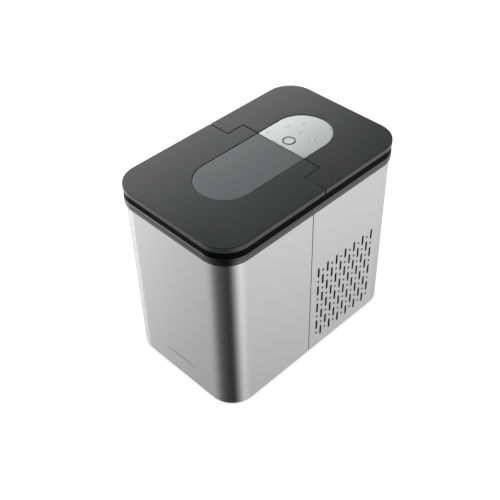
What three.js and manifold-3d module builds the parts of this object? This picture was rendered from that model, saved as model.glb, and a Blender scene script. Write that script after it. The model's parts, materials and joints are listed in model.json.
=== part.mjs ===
// A countertop ice maker: stainless housing with side vents, gloss collar, hinged lid with a clear
// window, control fascia, ice chamber with bullet evaporator and tipping tray, and the cooling unit.
// Millimetres. +Z up, +X to the right when facing the front, front face towards -Y.
// The origin is on the surface it stands on, under the middle of the housing.
import * as THREE from "three";
import { mergeVertices } from "three/addons/utils/BufferGeometryUtils.js";
import Module from "manifold-3d";

const wasm = await Module();
wasm.setup();

// ---------- driving dimensions ----------
const GAP = 0.3; // between pieces that touch
const RUNNING = 0.3; // radial clearance round pins and shafts

// housing
const BODY_WIDTH = 212;
const BODY_DEPTH = 338;
const BODY_RADIUS = 38; // vertical corners
const SHELL_HEIGHT = 266;
const SHEET = 1; // steel thickness
const SEAM_FROM_BACK = 180; // front and rear shells meet here
const SEAM_GAP = 0.9;
const SEAM_STRIP_WIDTH = 14;
const SEAM_STRIP_THICK = 1.2;
const FOOT_HEIGHT = 6;
const FOOT_RADIUS = 12;
const FOOT_STEM_RADIUS = 4;
const FOOT_INSET = 30; // foot centre from the side and end walls
const BASE_PLATE = 4;
const BASE_UPSTAND = 14;
const BASE_WALL = 2;
const FOOT_BEVEL = 1.5;
const BASE_LIFT = 0.5; // base tray above the shells' bottom edge

// collar and lid
const OVERHANG = 2.5; // collar and lid past the steel
const COLLAR_CURVE = 11.5; // height over which the collar swells out from the steel
const COLLAR_BAND = 10; // upright band above that
const COLLAR_WALL = 4;
const COLLAR_SKIRT = 8; // locating skirt inside the steel
const COLLAR_SKIRT_WALL = 2;
const DECK_THICK = 3;
const DECK_DROP = 9.5; // deck below the collar's top
const LID_THICK = 8;
const LID_SEAT = 0.5; // lid above the collar
const LID_EDGE = 0.8; // chamfer round the top
const HINGE_LINE_FROM_BACK = 131; // rear edge of the lid's tongue
const STEP_FROM_BACK = 161; // rear edge of the lid's wings
const TONGUE_HALF = 72;
const LID_GAP = 0.6;
const HINGE_GAP = 1;
const WINDOW_RADIUS = 43.5; // half width of the long oval
const WINDOW_FRONT_MARGIN = 60; // oval's front end from the body's front
const WINDOW_BACK_MARGIN = 43.5; // oval's back end from the body's back
const WINDOW_THICK = 3;
const WINDOW_RECESS = 0.2;
const WINDOW_LEDGE = 3.5;
const HINGE_BAR = 2.6; // strip of frame behind the window
const PIN_RADIUS = 2;
const PIN_LENGTH = 20;
const PIN_IN_TONGUE = 8;
const SKIRT_CLEARANCE = 1.2;
const SKIRT_HEIGHT = 6;
const SKIRT_WALL = 3;
const INNER_FRAME_FLANGE = 12; // screwed face of the lid's inner frame
const INNER_FRAME_TOP = 1.8; // thickness of that face
const INNER_FRAME_FROM_STEP = 4;
const COVER_SKIRT_FROM_FRONT = 8;
const COVER_SKIRT_ABOVE_DECK = 2;

// controls
const FASCIA_THICK = 3;
const FASCIA_RECESS = 0.5;
const POWER_FROM_HINGE = 17; // power button behind the hinge line
const POWER_RADIUS = 7.4;
const RING_RADIUS = 9.5;
const RING_HEIGHT = 0.5;
const RING_SEAT = 1.2; // depth of the ring's seat in the fascia
const BUTTON_GAP = 0.4;
const BUTTON_TRAVEL = 1;
const BUTTON_FLANGE = 1.5; // wider than its cap, under the fascia
const BUTTON_FLANGE_THICK = 1.3;
const BUTTON_STEM_INSET = 2.5;
const BUTTON_ROUND = 0.5;
const BUTTON_RISE = 0.3; // above the fascia
const SELECT_X = 20;
const SELECT_FROM_HINGE = 42;
const SELECT_RADIUS = 4;
const LENS_RADIUS = 1.8;
const LENS_BAR = 5; // width of the bars that join the lenses
const LENS_BAR_THICK = 1.4;
const LENSES = [[-34, 11], [-25, 38], [-12, 59], [-2, 41]]; // across, and behind the hinge line
const BOARD_THICK = 1.6;
const CONTROL_BOARD = { half: 40, from: 8, to: 66 }; // half width, and behind the cover's edge
const BOARD_BELOW_LID = 4.4;

// vents
const VENT_COLUMNS = 13;
const VENT_ROWS = 4;
const VENT_PITCH = 9.5;
const VENT_PERIOD = 34.9;
const VENT_WIDTH = 4;
const VENT_SLOT = 18.4;
const VENT_DOT_DROP = 26.5; // dot centre below its slot's top
const VENT_FROM_SEAM = 15.5;
const VENT_MARGIN = 18.5; // lowest slot above the shell's bottom edge

// ice chamber
const INSULATION_SIDE = 16;
const INSULATION_FRONT = 10;
const INSULATION_FLOOR = 10;
const LINER_WALL = 2.5;
const LINER_FLANGE = 5;
const LINER_RADIUS = 14;
const BULKHEAD_FROM_BACK = 135;
const BULKHEAD_THICK = 2;
const RESERVOIR_HEIGHT = 61;
const LEDGE_WIDTH = 6;
const LEDGE_THICK = 3;
const LEDGE_PAST_BASKET = 4;
const BASKET_WALL = 2;
const BASKET_CLEARANCE = 1.5;
const BASKET_FROM_REAR = 70; // basket's rear wall from the chamber's rear wall
const BASKET_BELOW_DECK = 85;
const BASKET_TAB = { half: 22, deep: 12, thick: 2.5 }; // lifting tab on the front wall
const BASKET_SLOT = 5; // width of the draining slots
const BASKET_SLOT_PITCH = 20;
const BASKET_SLOT_SPREAD = 60; // outermost slots of the floor and the rear wall from the middle
const BASKET_SLOT_FROM_FLOOR = 14;
const BASKET_SLOT_FROM_TOP = 24;
const BASKET_SLOT_FROM_ENDS = 20;

// ice mechanism, measured down from the deck's underside and forward from the chamber's rear wall
const HEADER_DROP = 30;
const HEADER_RADIUS = 6;
const FINGER_PITCH = 16;
const FINGER_RADIUS = 4.5;
const FINGER_LENGTH = 50;
const FINGERS_FROM_REAR = 20;
const STUB_RADIUS = 4;
const STUB_FROM_TRAY_SIDE = 6;
const STUB_PAST_BULKHEAD = 6;
const HEADER_PAST_STUB = 4;
const TRAY_SIDE_ROOM = 10.4; // each side of the tray, for its bosses and the hose
const SHOVEL_SIDE_ROOM = 5; // past the blade, inside the tray's sides
const TRAY_WALL = 2.5;
const TRAY_FRONT_FROM_REAR = 45;
const TRAY_REAR_GAP = 5; // room for its rear edge to swing
const TRAY_TOP_DROP = 59;
const TRAY_HEIGHT = 36;
const TRAY_AXLE_DROP = 76;
const TRAY_BOSS_WALL = 3; // boss round the axle
const TRAY_BOSS_OUT = 3; // past the tray's side
const SHAFT_IN_MOTOR = 6;
const AXLE_RADIUS = 3;
const SHOVEL_AXLE_DROP = 45;
const SHOVEL_FROM_REAR = 57.5;
const SHOVEL_LENGTH = 30;
const SHOVEL_THICK = 2.6;
const SHOVEL_SLOTS = 8;
const SHOVEL_SLOT_WIDTH = 6;
const SHOVEL_SOLID_TOP = 12; // blade above its slots
const MOTOR_RADIUS = 18;
const MOTOR_THICK = 13;
const SENSOR = { wide: 6, deep: 16, high: 12 };
const SENSOR_FROM_BASKET_REAR = 30;
const SENSOR_ABOVE_BASKET = 3;

// water circuit
const PUMP_RADIUS = 17;
const PUMP_HEIGHT = 40;
const PUMP_X = -45;
const PUMP_FROM_REAR = 32;
const HOSE_RADIUS = 2.8;
const FLOAT_X = 50;
const FLOAT_RADIUS = 10;
const FLOAT_HEIGHT = 12;
const STEM_RADIUS = 3;
const STEM_HEIGHT = 42;
const STEM_HEAD = 5;
const STEM_FOOT = { radius: 6, thick: 2 };
const DRAIN_FROM_FRONT = 50;
const DRAIN_ABOVE_FLOOR = 9;
const SPOUT_RADIUS = 7;
const SPOUT_BORE = 4.6;
const CAP_RADIUS = 11;
const CAP_THICK = 2;
const CAP_PLUG = 10;

// cooling unit
const COMPRESSOR_RADIUS = 50;
const COMPRESSOR_HEIGHT = 118;
const COMPRESSOR_RIB = 3; // weld rib round the shell
const COMPRESSOR_MARGIN = 6; // from the right wall
const GROMMET_RADIUS = 7;
const GROMMET_HEIGHT = 9;
const COMPRESSOR_PLATE = 2;
const COMPRESSOR_PLATE_CORNER = 12;
const RELAY = { wide: 28, deep: 11, high: 26 };
const CONDENSER = { thick: 24, deep: 98, high: 126 };
const CONDENSER_MARGIN = 6; // from the left wall
const CONDENSER_FROM_BULKHEAD = 2;
const FIN_PITCH = 9;
const FIN_SLOT = 6;
const FIN_DEPTH = 19;
const SHROUD = { thick: 15, side: 98, wall: 2, lip: 4, spokeHalf: 3 };
const FAN_RADIUS = 43;
const FAN_HUB = 13;
const FAN_BLADES = 7;
const FAN_DEPTH = 10;
const FAN_BLADE = { thick: 1.6, wide: 22, pitch: 66 }; // pitch in degrees from the axle
const FAN_TIP_CLEARANCE = 2;
const FAN_IN_SHROUD = 1.5; // rotor's front behind the shroud's open face
const FAN_MOTOR_RADIUS = 18;
const FAN_MOTOR_LENGTH = 20;
const FAN_SHAFT = 2.5;
const TUBE_RADIUS = 3;
const CAPILLARY_RADIUS = 1.5;
const DRIER_RADIUS = 8;
const DRIER_LENGTH = 76;
const DRIER_NECK = 2.4;
const DRIER_TAPER = 10;
const VALVE = { half: 11, radius: 6, below: 18, above: 12, x: 20, fromBack: 20, drop: 22 };
const BOARD_BOX_MARGIN = 1; // inboard of the condenser
const BOARD_BOX = { wide: 92, deep: 22, high: 64, wall: 2, under: 10, standoff: 5 };
const GLAND_RADIUS = 9;
const GLAND_BORE = 3.8;
const GLAND_FROM_CORNER = 20;
const GLAND_ABOVE_BASE = 20;
const GLAND_NECK = 2; // neck smaller than the flange
const GLAND_LENGTH = 12; // inside the wall
const GLAND_FLANGE = 2; // flange's thickness
const GLAND_ROUND = 1;
const SCREW_HEAD = 3.6;
const SCREW_HEAD_HEIGHT = 1.6;
const SCREW_RADIUS = 1.6;
const SCREW_LENGTH = 7;
const SCREW_FROM_CORNER = 10;

// ---------- places worked out from them ----------
const back = BODY_DEPTH / 2;
const front = -back;
const side = BODY_WIDTH / 2;
const shellBottom = FOOT_HEIGHT;
const shellTop = shellBottom + SHELL_HEIGHT;
const collarBottom = shellTop + GAP;
const collarTop = shellTop + COLLAR_CURVE + COLLAR_BAND;
const deckTop = collarTop - DECK_DROP;
const deckBottom = deckTop - DECK_THICK;
const lidBottom = collarTop + LID_SEAT;
const top = lidBottom + LID_THICK;
const seamY = back - SEAM_FROM_BACK;
const hingeLineY = back - HINGE_LINE_FROM_BACK;
const stepY = back - STEP_FROM_BACK;
const axisY = hingeLineY - LID_THICK / 2;
const axisZ = lidBottom + LID_THICK / 2;
const coverFrontY = hingeLineY + HINGE_GAP;
const basePlateBottom = shellBottom + BASE_LIFT;
const basePlateTop = basePlateBottom + BASE_PLATE;
const baseInset = SHEET + BASE_LIFT;
const bulkheadY = back - BULKHEAD_FROM_BACK;
const bayFrontY = bulkheadY + BULKHEAD_THICK;
const linerRearY = bulkheadY - 2 * GAP - LINER_WALL; // chamber's rear wall, inside
const foamSide = side - SHEET - SEAM_STRIP_THICK - 2 * GAP;
const linerSideOuter = foamSide - INSULATION_SIDE - GAP;
const chamberSide = linerSideOuter - LINER_WALL;
const foamFrontY = front + SHEET + 2 * GAP;
const linerFrontOuter = foamFrontY + INSULATION_FRONT + GAP;
const chamberFrontY = linerFrontOuter + LINER_WALL;
const trayHalf = chamberSide - TRAY_SIDE_ROOM;
const shovelHalf = trayHalf - SHOVEL_SIDE_ROOM;
const stubX = trayHalf - STUB_FROM_TRAY_SIDE;
const foamBottom = basePlateBottom + BASE_PLATE + BASE_UPSTAND + GAP;
const linerBottom = foamBottom + INSULATION_FLOOR + GAP;
const chamberFloor = linerBottom + LINER_WALL;
const linerTop = deckBottom - GAP;
const ledgeTop = chamberFloor + RESERVOIR_HEIGHT;
const fingersY = linerRearY - FINGERS_FROM_REAR;
const headerZ = deckBottom - HEADER_DROP;
const trayTop = deckBottom - TRAY_TOP_DROP;
const trayFrontY = linerRearY - TRAY_FRONT_FROM_REAR;
const trayRearY = linerRearY - TRAY_REAR_GAP;
const trayAxleZ = deckBottom - TRAY_AXLE_DROP;
const shovelAxleY = linerRearY - SHOVEL_FROM_REAR;
const shovelAxleZ = deckBottom - SHOVEL_AXLE_DROP;
const basketRearY = linerRearY - BASKET_FROM_REAR;
const basketTop = deckBottom - BASKET_BELOW_DECK;
const drainY = chamberFrontY + DRAIN_FROM_FRONT;
const drainZ = chamberFloor + DRAIN_ABOVE_FLOOR;
const bayMidY = (bayFrontY + back - SHEET) / 2;
const condenserX = -side + SHEET + CONDENSER_MARGIN; // its outer face
const airY = bayFrontY + CONDENSER_FROM_BULKHEAD + CONDENSER.deep / 2; // middle of the air path
const fanX = condenserX + CONDENSER.thick + 2 * GAP; // shroud's outer face
const fanZ = basePlateTop + GAP + SHROUD.side / 2;
const compressorX = side - SHEET - COMPRESSOR_MARGIN - COMPRESSOR_RADIUS;
const compressorZ = basePlateTop + GROMMET_HEIGHT + COMPRESSOR_PLATE + 3 * GAP;

// ---------- materials ----------
const material = (color, roughness, metalness) =>
  new THREE.MeshStandardMaterial({ color, roughness, metalness });
const steel = material(0xb9babb, 0.32, 1);
const glossBlack = material(0x0c0d0e, 0.12, 0);
const lidGrey = material(0x3f4140, 0.42, 0);
const smoked = new THREE.MeshStandardMaterial({
  color: 0x6d706f,
  roughness: 0.08,
  metalness: 0,
  transparent: true,
  opacity: 0.45,
});
const silver = material(0xc9cacb, 0.35, 0.6);
const chrome = material(0x8d8f92, 0.15, 1);
const whitePlastic = material(0xe8e9ea, 0.5, 0);
const clearPlastic = material(0xd5dde0, 0.2, 0);
const blackPlastic = material(0x1b1c1d, 0.6, 0);
const rubber = material(0x151515, 0.85, 0);
const foam = material(0xf0f0ee, 0.9, 0);
const copper = material(0xb8733e, 0.35, 1);
const castMetal = material(0x202224, 0.45, 0.6);
const aluminium = material(0xc0c3c6, 0.4, 1);
const boardGreen = material(0x1e5a35, 0.5, 0);

// ---------- outlines ----------
const v2 = (x, y) => new THREE.Vector2(x, y);
const v3 = (x, y, z) => new THREE.Vector3(x, y, z);

// Points of a rounded rectangle, anticlockwise, centred on (cx, cy).
function roundedRect(width, depth, radius, steps = 8, cx = 0, cy = 0) {
  const points = [];
  const corners = [
    [1, 1, 0],
    [-1, 1, 90],
    [-1, -1, 180],
    [1, -1, 270],
  ];
  for (const [sx, sy, from] of corners)
    for (let i = 0; i <= steps; i++) {
      const a = THREE.MathUtils.degToRad(from + (90 * i) / steps);
      const x = cx + sx * (width / 2 - radius) + radius * Math.cos(a);
      const y = cy + sy * (depth / 2 - radius) + radius * Math.sin(a);
      points.push(v2(x, y));
    }
  return points;
}

// The body's outline, moved out (or in) by an offset.
const bodyOutline = (offset) =>
  roundedRect(BODY_WIDTH + 2 * offset, BODY_DEPTH + 2 * offset, BODY_RADIUS + offset);

const rect = (x0, x1, y0, y1) => [v2(x0, y0), v2(x1, y0), v2(x1, y1), v2(x0, y1)];

function circle(radius, sides = 16, cx = 0, cy = 0) {
  const at = (i) => (2 * Math.PI * i) / sides;
  return Array.from({ length: sides }, (_, i) =>
    v2(cx + radius * Math.cos(at(i)), cy + radius * Math.sin(at(i))),
  );
}

// The long oval of the window and fascia, with its inset.
function oval(inset, steps = 12) {
  const radius = WINDOW_RADIUS - inset;
  const y0 = front + WINDOW_FRONT_MARGIN + WINDOW_RADIUS;
  const y1 = back - WINDOW_BACK_MARGIN - WINDOW_RADIUS;
  const points = [];
  for (let i = 0; i <= steps; i++) {
    const a = (Math.PI * i) / steps;
    points.push(v2(radius * Math.cos(a), y1 + radius * Math.sin(a)));
  }
  for (let i = 0; i <= steps; i++) {
    const a = Math.PI + (Math.PI * i) / steps;
    points.push(v2(radius * Math.cos(a), y0 + radius * Math.sin(a)));
  }
  return points;
}

// ---------- geometry and solids ----------
function prism(points, z0, z1, holes = []) {
  const shape = new THREE.Shape(points);
  shape.holes = holes.map((h) => new THREE.Path(h));
  const geometry = new THREE.ExtrudeGeometry(shape, { depth: z1 - z0, bevelEnabled: false });
  return geometry.translate(0, 0, z0);
}

const box = (x0, x1, y0, y1, z0, z1) => prism(rect(x0, x1, y0, y1), z0, z1);

// A cylinder along an axis, from one coordinate to another, centred on the other two.
function rod(axis, radius, from, to, a, b, sides = 16) {
  const geometry = new THREE.CylinderGeometry(radius, radius, to - from, sides);
  const middle = (from + to) / 2;
  if (axis === "x") return geometry.rotateZ(-Math.PI / 2).translate(middle, a, b);
  if (axis === "y") return geometry.translate(a, middle, b);
  return geometry.rotateX(Math.PI / 2).translate(a, b, middle);
}

// A turned piece about +Z; the profile is [radius, height] pairs from the axis back to the axis.
function turned(profile, sides = 20) {
  const points = profile.map(([r, h]) => v2(r, h));
  return new THREE.LatheGeometry(points, sides).rotateX(Math.PI / 2);
}

// A tube through points, as a solid bar.
function bar(points, radius, sides = 8, steps = 20) {
  const extrudePath = new THREE.CatmullRomCurve3(points, false, "centripetal");
  const shape = new THREE.Shape(circle(radius, sides));
  return new THREE.ExtrudeGeometry(shape, { steps, bevelEnabled: false, extrudePath });
}

// Stacked outlines with the same number of points, capped at both ends.
function loft(layers) {
  const count = layers[0].outline.length;
  const position = layers.flatMap(({ outline, z }) => outline.flatMap((p) => [p.x, p.y, z]));
  const index = [];
  for (let k = 0; k + 1 < layers.length; k++)
    for (let i = 0; i < count; i++) {
      const j = (i + 1) % count;
      const [a, b] = [k * count + i, k * count + j];
      const [c, d] = [a + count, b + count];
      index.push(a, b, d, a, d, c);
    }
  const last = (layers.length - 1) * count;
  for (const [a, b, c] of THREE.ShapeUtils.triangulateShape(layers[0].outline, []))
    index.push(a, c, b);
  for (const [a, b, c] of THREE.ShapeUtils.triangulateShape(layers.at(-1).outline, []))
    index.push(last + a, last + b, last + c);
  const geometry = new THREE.BufferGeometry();
  geometry.setAttribute("position", new THREE.Float32BufferAttribute(position, 3));
  geometry.setIndex(index);
  return geometry;
}

function solid(geometry) {
  const flat = geometry.index ? geometry.toNonIndexed() : geometry;
  const bare = new THREE.BufferGeometry().setAttribute("position", flat.getAttribute("position"));
  const merged = mergeVertices(bare, 1e-4);
  const vertProperties = merged.getAttribute("position").array;
  const triVerts = new Uint32Array(merged.index.array);
  return new wasm.Manifold(new wasm.Mesh({ numProp: 3, vertProperties, triVerts }));
}

const join = (...pieces) => pieces.map(solid).reduce((a, b) => a.add(b));
const cut = (body, ...tools) => tools.reduce((a, t) => a.subtract(solid(t)), body);
const keep = (body, region) => body.intersect(solid(region));

function geometryOf(body) {
  const mesh = body.getMesh();
  const geometry = new THREE.BufferGeometry();
  const position = new Float32Array(mesh.numVert * 3);
  for (let i = 0; i < mesh.numVert; i++)
    position.set(mesh.vertProperties.subarray(i * mesh.numProp, i * mesh.numProp + 3), i * 3);
  geometry.setAttribute("position", new THREE.BufferAttribute(position, 3));
  geometry.setIndex(new THREE.BufferAttribute(mesh.triVerts, 1));
  geometry.computeVertexNormals();
  return geometry;
}

// A named piece from a geometry or a solid.
function piece(name, shape, look, place = v3(0, 0, 0)) {
  const mesh = new THREE.Mesh(shape.isBufferGeometry ? shape : geometryOf(shape), look);
  mesh.name = name;
  mesh.position.copy(place);
  return mesh;
}

function group(...pieces) {
  const made = new THREE.Group();
  made.add(...pieces.flat());
  return made;
}

const far = 400; // past every wall, for cutting regions
const past = 1; // a cutting tool runs this far past a face

// ---------- housing ----------
const shellHoop = () => solid(prism(bodyOutline(0), shellBottom, shellTop, [bodyOutline(-SHEET)]));

// A slot's outline across the wall, pointed at both ends.
function slotOutline(y, z0, z1) {
  const [h, tip] = [VENT_WIDTH / 2, VENT_WIDTH / 4];
  const lower = [v2(y - h, z0 + tip), v2(y, z0), v2(y + h, z0 + tip)];
  return [...lower, v2(y + h, z1 - tip), v2(y, z1), v2(y - h, z1 - tip)];
}

// An outline in y and z, as a bar through a side wall.
function vent(sx, outline) {
  const bore = prism(outline, 0, 4 * SHEET);
  bore.rotateX(Math.PI / 2).rotateZ(Math.PI / 2); // its length now runs along +x
  return bore.translate(sx > 0 ? side - 2 * SHEET : -side - 2 * SHEET, 0, 0);
}

function ventPattern(sx) {
  const vents = [];
  const zTop = shellBottom + VENT_MARGIN + (VENT_ROWS - 0.5) * VENT_PERIOD + VENT_SLOT;
  for (let c = 0; c < VENT_COLUMNS; c++) {
    const y = seamY + VENT_FROM_SEAM + c * VENT_PITCH;
    const odd = c % 2;
    for (let r = 0; r < VENT_ROWS; r++) {
      const slotTop = zTop - (r + odd / 2) * VENT_PERIOD;
      const dotZ = zTop - VENT_DOT_DROP - (r - odd / 2) * VENT_PERIOD;
      vents.push(vent(sx, slotOutline(y, slotTop - VENT_SLOT, slotTop)));
      vents.push(vent(sx, circle(VENT_WIDTH / 2, 4, y, dotZ)));
    }
  }
  return vents;
}

const screwSides = 10;
const screwX = side - BODY_RADIUS - SCREW_FROM_CORNER;
const screwPlaces = [basePlateTop + BASE_UPSTAND / 2, shellTop - COLLAR_SKIRT / 2].flatMap((z) => [
  [-screwX, z],
  [screwX, z],
]);
// A screw's hole through the rear wall and what it fastens.
const screwHole = (x, z) => {
  const depth = SCREW_LENGTH + 2 * past;
  return rod("y", SCREW_RADIUS + RUNNING, back - depth, back + past, x, z, screwSides);
};
const glandX = side - BODY_RADIUS - GLAND_FROM_CORNER;
const glandPlace = v3(glandX, back, basePlateTop + BASE_UPSTAND + GLAND_ABOVE_BASE);

function housing() {
  const frontHalf = prism(rect(-far, far, -far, seamY - SEAM_GAP / 2), 0, far);
  const rearHalf = prism(rect(-far, far, seamY + SEAM_GAP / 2, far), 0, far);
  const drainHole = rod("x", SPOUT_RADIUS + GAP, -side - past, -side + SHEET + past, drainY, drainZ);
  const frontShell = cut(keep(shellHoop(), frontHalf), drainHole);
  const screwHoles = screwPlaces.map(([x, z]) => screwHole(x, z));
  const neck = GLAND_RADIUS - GLAND_NECK;
  const [wallIn, wallOut] = [back - SHEET - past, back + past];
  const glandHole = rod("y", neck, wallIn, wallOut, glandPlace.x, glandPlace.z);
  const holes = [...ventPattern(1), ...ventPattern(-1), ...screwHoles, glandHole];
  const vents = wasm.Manifold.union(holes.map(solid));
  const rearShell = keep(shellHoop(), rearHalf).subtract(vents);

  const strip = (sx) => {
    const x0 = sx > 0 ? side - SHEET - GAP - SEAM_STRIP_THICK : -side + SHEET + GAP;
    const [y0, y1] = [seamY - SEAM_STRIP_WIDTH / 2, seamY + SEAM_STRIP_WIDTH / 2];
    const bottom = basePlateTop + BASE_UPSTAND + GAP;
    return box(x0, x0 + SEAM_STRIP_THICK, y0, y1, bottom, shellTop - COLLAR_SKIRT - GAP);
  };
  return group(
    piece("front_shell", frontShell, steel),
    piece("rear_shell", rearShell, steel),
    piece("seam_strip_right", strip(1), blackPlastic),
    piece("seam_strip_left", strip(-1), blackPlastic),
    screwPlaces.map(([x, z], i) => backScrew(`back_screw_${i + 1}`, x, z)),
    cordGland(),
  );
}

// A pan-head screw driven in from the back.
function backScrew(name, x, z) {
  const crown = GAP + SCREW_HEAD_HEIGHT;
  const profile = [
    [0, -SCREW_LENGTH],
    [SCREW_RADIUS, -SCREW_LENGTH],
    [SCREW_RADIUS, GAP],
    [SCREW_HEAD, GAP],
    [SCREW_HEAD, GAP + SCREW_HEAD_HEIGHT / 2],
    [SCREW_HEAD * 0.7, crown],
    [0, crown],
  ];
  const geometry = turned(profile, screwSides).rotateX(-Math.PI / 2);
  return piece(name, geometry, chrome, v3(x, back, z));
}

// Cord inlet bushing: a flange outside the sheet, a neck through it, and a bore for the cord.
function cordGland() {
  const neck = GLAND_RADIUS - GLAND_NECK - GAP;
  const face = GAP + GLAND_FLANGE;
  const profile = [
    [GLAND_BORE, -GLAND_LENGTH],
    [neck, -GLAND_LENGTH],
    [neck, GAP],
    [GLAND_RADIUS, GAP],
    [GLAND_RADIUS, face - GLAND_ROUND],
    [GLAND_RADIUS - GLAND_ROUND, face],
    [GLAND_BORE, face],
    [GLAND_BORE, -GLAND_LENGTH],
  ];
  return piece("cord_gland", turned(profile, 16).rotateX(-Math.PI / 2), rubber, glandPlace);
}

// ---------- base ----------
const footPlaces = [
  ["foot_front_left", -1, -1],
  ["foot_front_right", 1, -1],
  ["foot_rear_left", -1, 1],
  ["foot_rear_right", 1, 1],
].map(([name, sx, sy]) => [name, sx * (side - FOOT_INSET), sy * (back - FOOT_INSET)]);

const grommetRing = COMPRESSOR_RADIUS - GROMMET_RADIUS;
const grommetPlaces = [90, 210, 330].map((deg, i) => {
  const a = THREE.MathUtils.degToRad(deg);
  const x = compressorX + grommetRing * Math.cos(a);
  return [`compressor_grommet_${i + 1}`, x, bayMidY + grommetRing * Math.sin(a)];
});

function base() {
  const wallTop = basePlateTop + BASE_UPSTAND;
  const tray = cut(
    solid(prism(bodyOutline(-baseInset), basePlateBottom, wallTop)),
    prism(bodyOutline(-baseInset - BASE_WALL), basePlateTop, wallTop + past),
    ...footPlaces.map(([, x, y]) =>
      rod("z", FOOT_STEM_RADIUS + RUNNING, basePlateBottom - past, basePlateTop + past, x, y, 12),
    ),
    ...screwPlaces.slice(0, 2).map(([x, z]) => screwHole(x, z)),
  );
  const footProfile = [
    [0, 0],
    [FOOT_RADIUS, 0],
    [FOOT_RADIUS, FOOT_BEVEL],
    [FOOT_RADIUS - FOOT_BEVEL, basePlateBottom - GAP],
    [FOOT_STEM_RADIUS, basePlateBottom - GAP],
    [FOOT_STEM_RADIUS, basePlateTop],
    [0, basePlateTop],
  ];
  return group(
    piece("base_tray", tray, blackPlastic),
    footPlaces.map(([name, x, y]) => piece(name, turned(footProfile, 16), rubber, v3(x, y, 0))),
  );
}

// ---------- collar ----------
function collar() {
  // It swells out in a quarter wave from the steel's face to the overhang.
  const swell = (share) => ({
    z: shellTop + COLLAR_CURVE * share,
    outline: bodyOutline(OVERHANG * Math.sin((share * Math.PI) / 2)),
  });
  const outer = loft([
    { z: collarBottom, outline: bodyOutline(0) },
    ...[0.3, 0.6, 1].map(swell),
    { z: collarTop, outline: bodyOutline(OVERHANG) },
  ]);
  const skirtOuter = SHEET + 2 * GAP;
  const skirtBottom = shellTop - COLLAR_SKIRT;
  const skirt = prism(bodyOutline(-skirtOuter), skirtBottom, collarBottom + past);
  const innerSkirt = bodyOutline(-skirtOuter - COLLAR_SKIRT_WALL);
  const mouth = roundedRect(
    2 * chamberSide,
    linerRearY - chamberFrontY,
    LINER_RADIUS,
    5,
    0,
    (linerRearY + chamberFrontY) / 2,
  );
  const body = cut(
    join(outer, skirt),
    prism(innerSkirt, skirtBottom - past, deckBottom),
    prism(bodyOutline(-COLLAR_WALL), deckTop, collarTop + past),
    prism(mouth, deckBottom - past, deckTop + past),
    ...screwPlaces.slice(2).map(([x, z]) => screwHole(x, z)),
  );
  return piece("top_collar", body, glossBlack);
}

// ---------- lid and rear cover ----------
// The plate both are cut from, with a chamfered top edge.
function topPlate() {
  const layer = (z, offset) => ({ z, outline: bodyOutline(offset) });
  return solid(
    loft([
      layer(lidBottom, OVERHANG - LID_EDGE / 2),
      layer(lidBottom + LID_EDGE / 2, OVERHANG),
      layer(top - LID_EDGE, OVERHANG),
      layer(top, OVERHANG - LID_EDGE),
    ]),
  );
}

// Plan of the lid: wings to the step line, and a tongue between them to the hinge line.
const lidPlan = (wingsY, tongueY, half) => [
  v2(-far, -far),
  v2(far, -far),
  v2(far, wingsY),
  v2(half, wingsY),
  v2(half, tongueY),
  v2(-half, tongueY),
  v2(-half, wingsY),
  v2(-far, wingsY),
];

const pinSides = 12;
const pinHole = (x0, x1) => rod("x", PIN_RADIUS + RUNNING, x0, x1, axisY, axisZ, pinSides);

function lid() {
  const barrel = rod("x", LID_THICK / 2, -TONGUE_HALF, TONGUE_HALF, axisY, axisZ, 24);
  const plate = keep(topPlate(), prism(lidPlan(stepY, axisY, TONGUE_HALF), 0, far));
  const windowRear = hingeLineY - HINGE_BAR;
  const pocketFloor = top - WINDOW_RECESS - WINDOW_THICK - GAP;
  const region = (y) => prism(rect(-far, far, -far, y), 0, far);
  const pocket = keep(solid(prism(oval(0), pocketFloor, far)), region(windowRear));
  const light = solid(prism(oval(WINDOW_LEDGE), 0, far));
  const lightWell = keep(light, region(axisY - LID_THICK / 2));
  const frame = cut(
    plate.add(solid(barrel)).subtract(pocket).subtract(lightWell),
    pinHole(TONGUE_HALF - PIN_IN_TONGUE - GAP, far),
    pinHole(-far, -TONGUE_HALF + PIN_IN_TONGUE + GAP),
  );
  const glass = keep(
    solid(prism(oval(GAP), top - WINDOW_RECESS - WINDOW_THICK, top - WINDOW_RECESS)),
    region(windowRear - GAP),
  );
  // Inner frame: a skirt ring under the plate that drops inside the collar.
  const outerX = side - COLLAR_WALL - SKIRT_CLEARANCE;
  const outerY = front + COLLAR_WALL + SKIRT_CLEARANCE;
  const rearY = stepY - INNER_FRAME_FROM_STEP;
  const [midY, deep] = [(outerY + rearY) / 2, rearY - outerY];
  const radius = BODY_RADIUS - COLLAR_WALL - SKIRT_CLEARANCE;
  const ringOuter = roundedRect(2 * outerX, deep, radius, 6, 0, midY);
  const rim = (wall) =>
    roundedRect(2 * (outerX - wall), deep - 2 * wall, radius - wall, 6, 0, midY);
  const skirtTop = lidBottom - GAP;
  const skirtBottom = skirtTop - SKIRT_HEIGHT;
  const skirt = cut(
    solid(prism(ringOuter, skirtBottom, skirtTop)),
    prism(rim(SKIRT_WALL), skirtBottom - past, skirtTop - INNER_FRAME_TOP),
    prism(rim(INNER_FRAME_FLANGE), skirtBottom, skirtTop + past),
  );
  return group(
    piece("lid_frame", frame, lidGrey),
    piece("lid_window", glass, smoked),
    piece("lid_inner_frame", skirt, whitePlastic),
  );
}

function hingePins() {
  const x0 = TONGUE_HALF - PIN_IN_TONGUE;
  const pin = (from) => rod("x", PIN_RADIUS, from, from + PIN_LENGTH, axisY, axisZ, pinSides);
  return group(
    piece("hinge_pin_right", pin(x0), chrome),
    piece("hinge_pin_left", pin(-x0 - PIN_LENGTH), chrome),
  );
}

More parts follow.
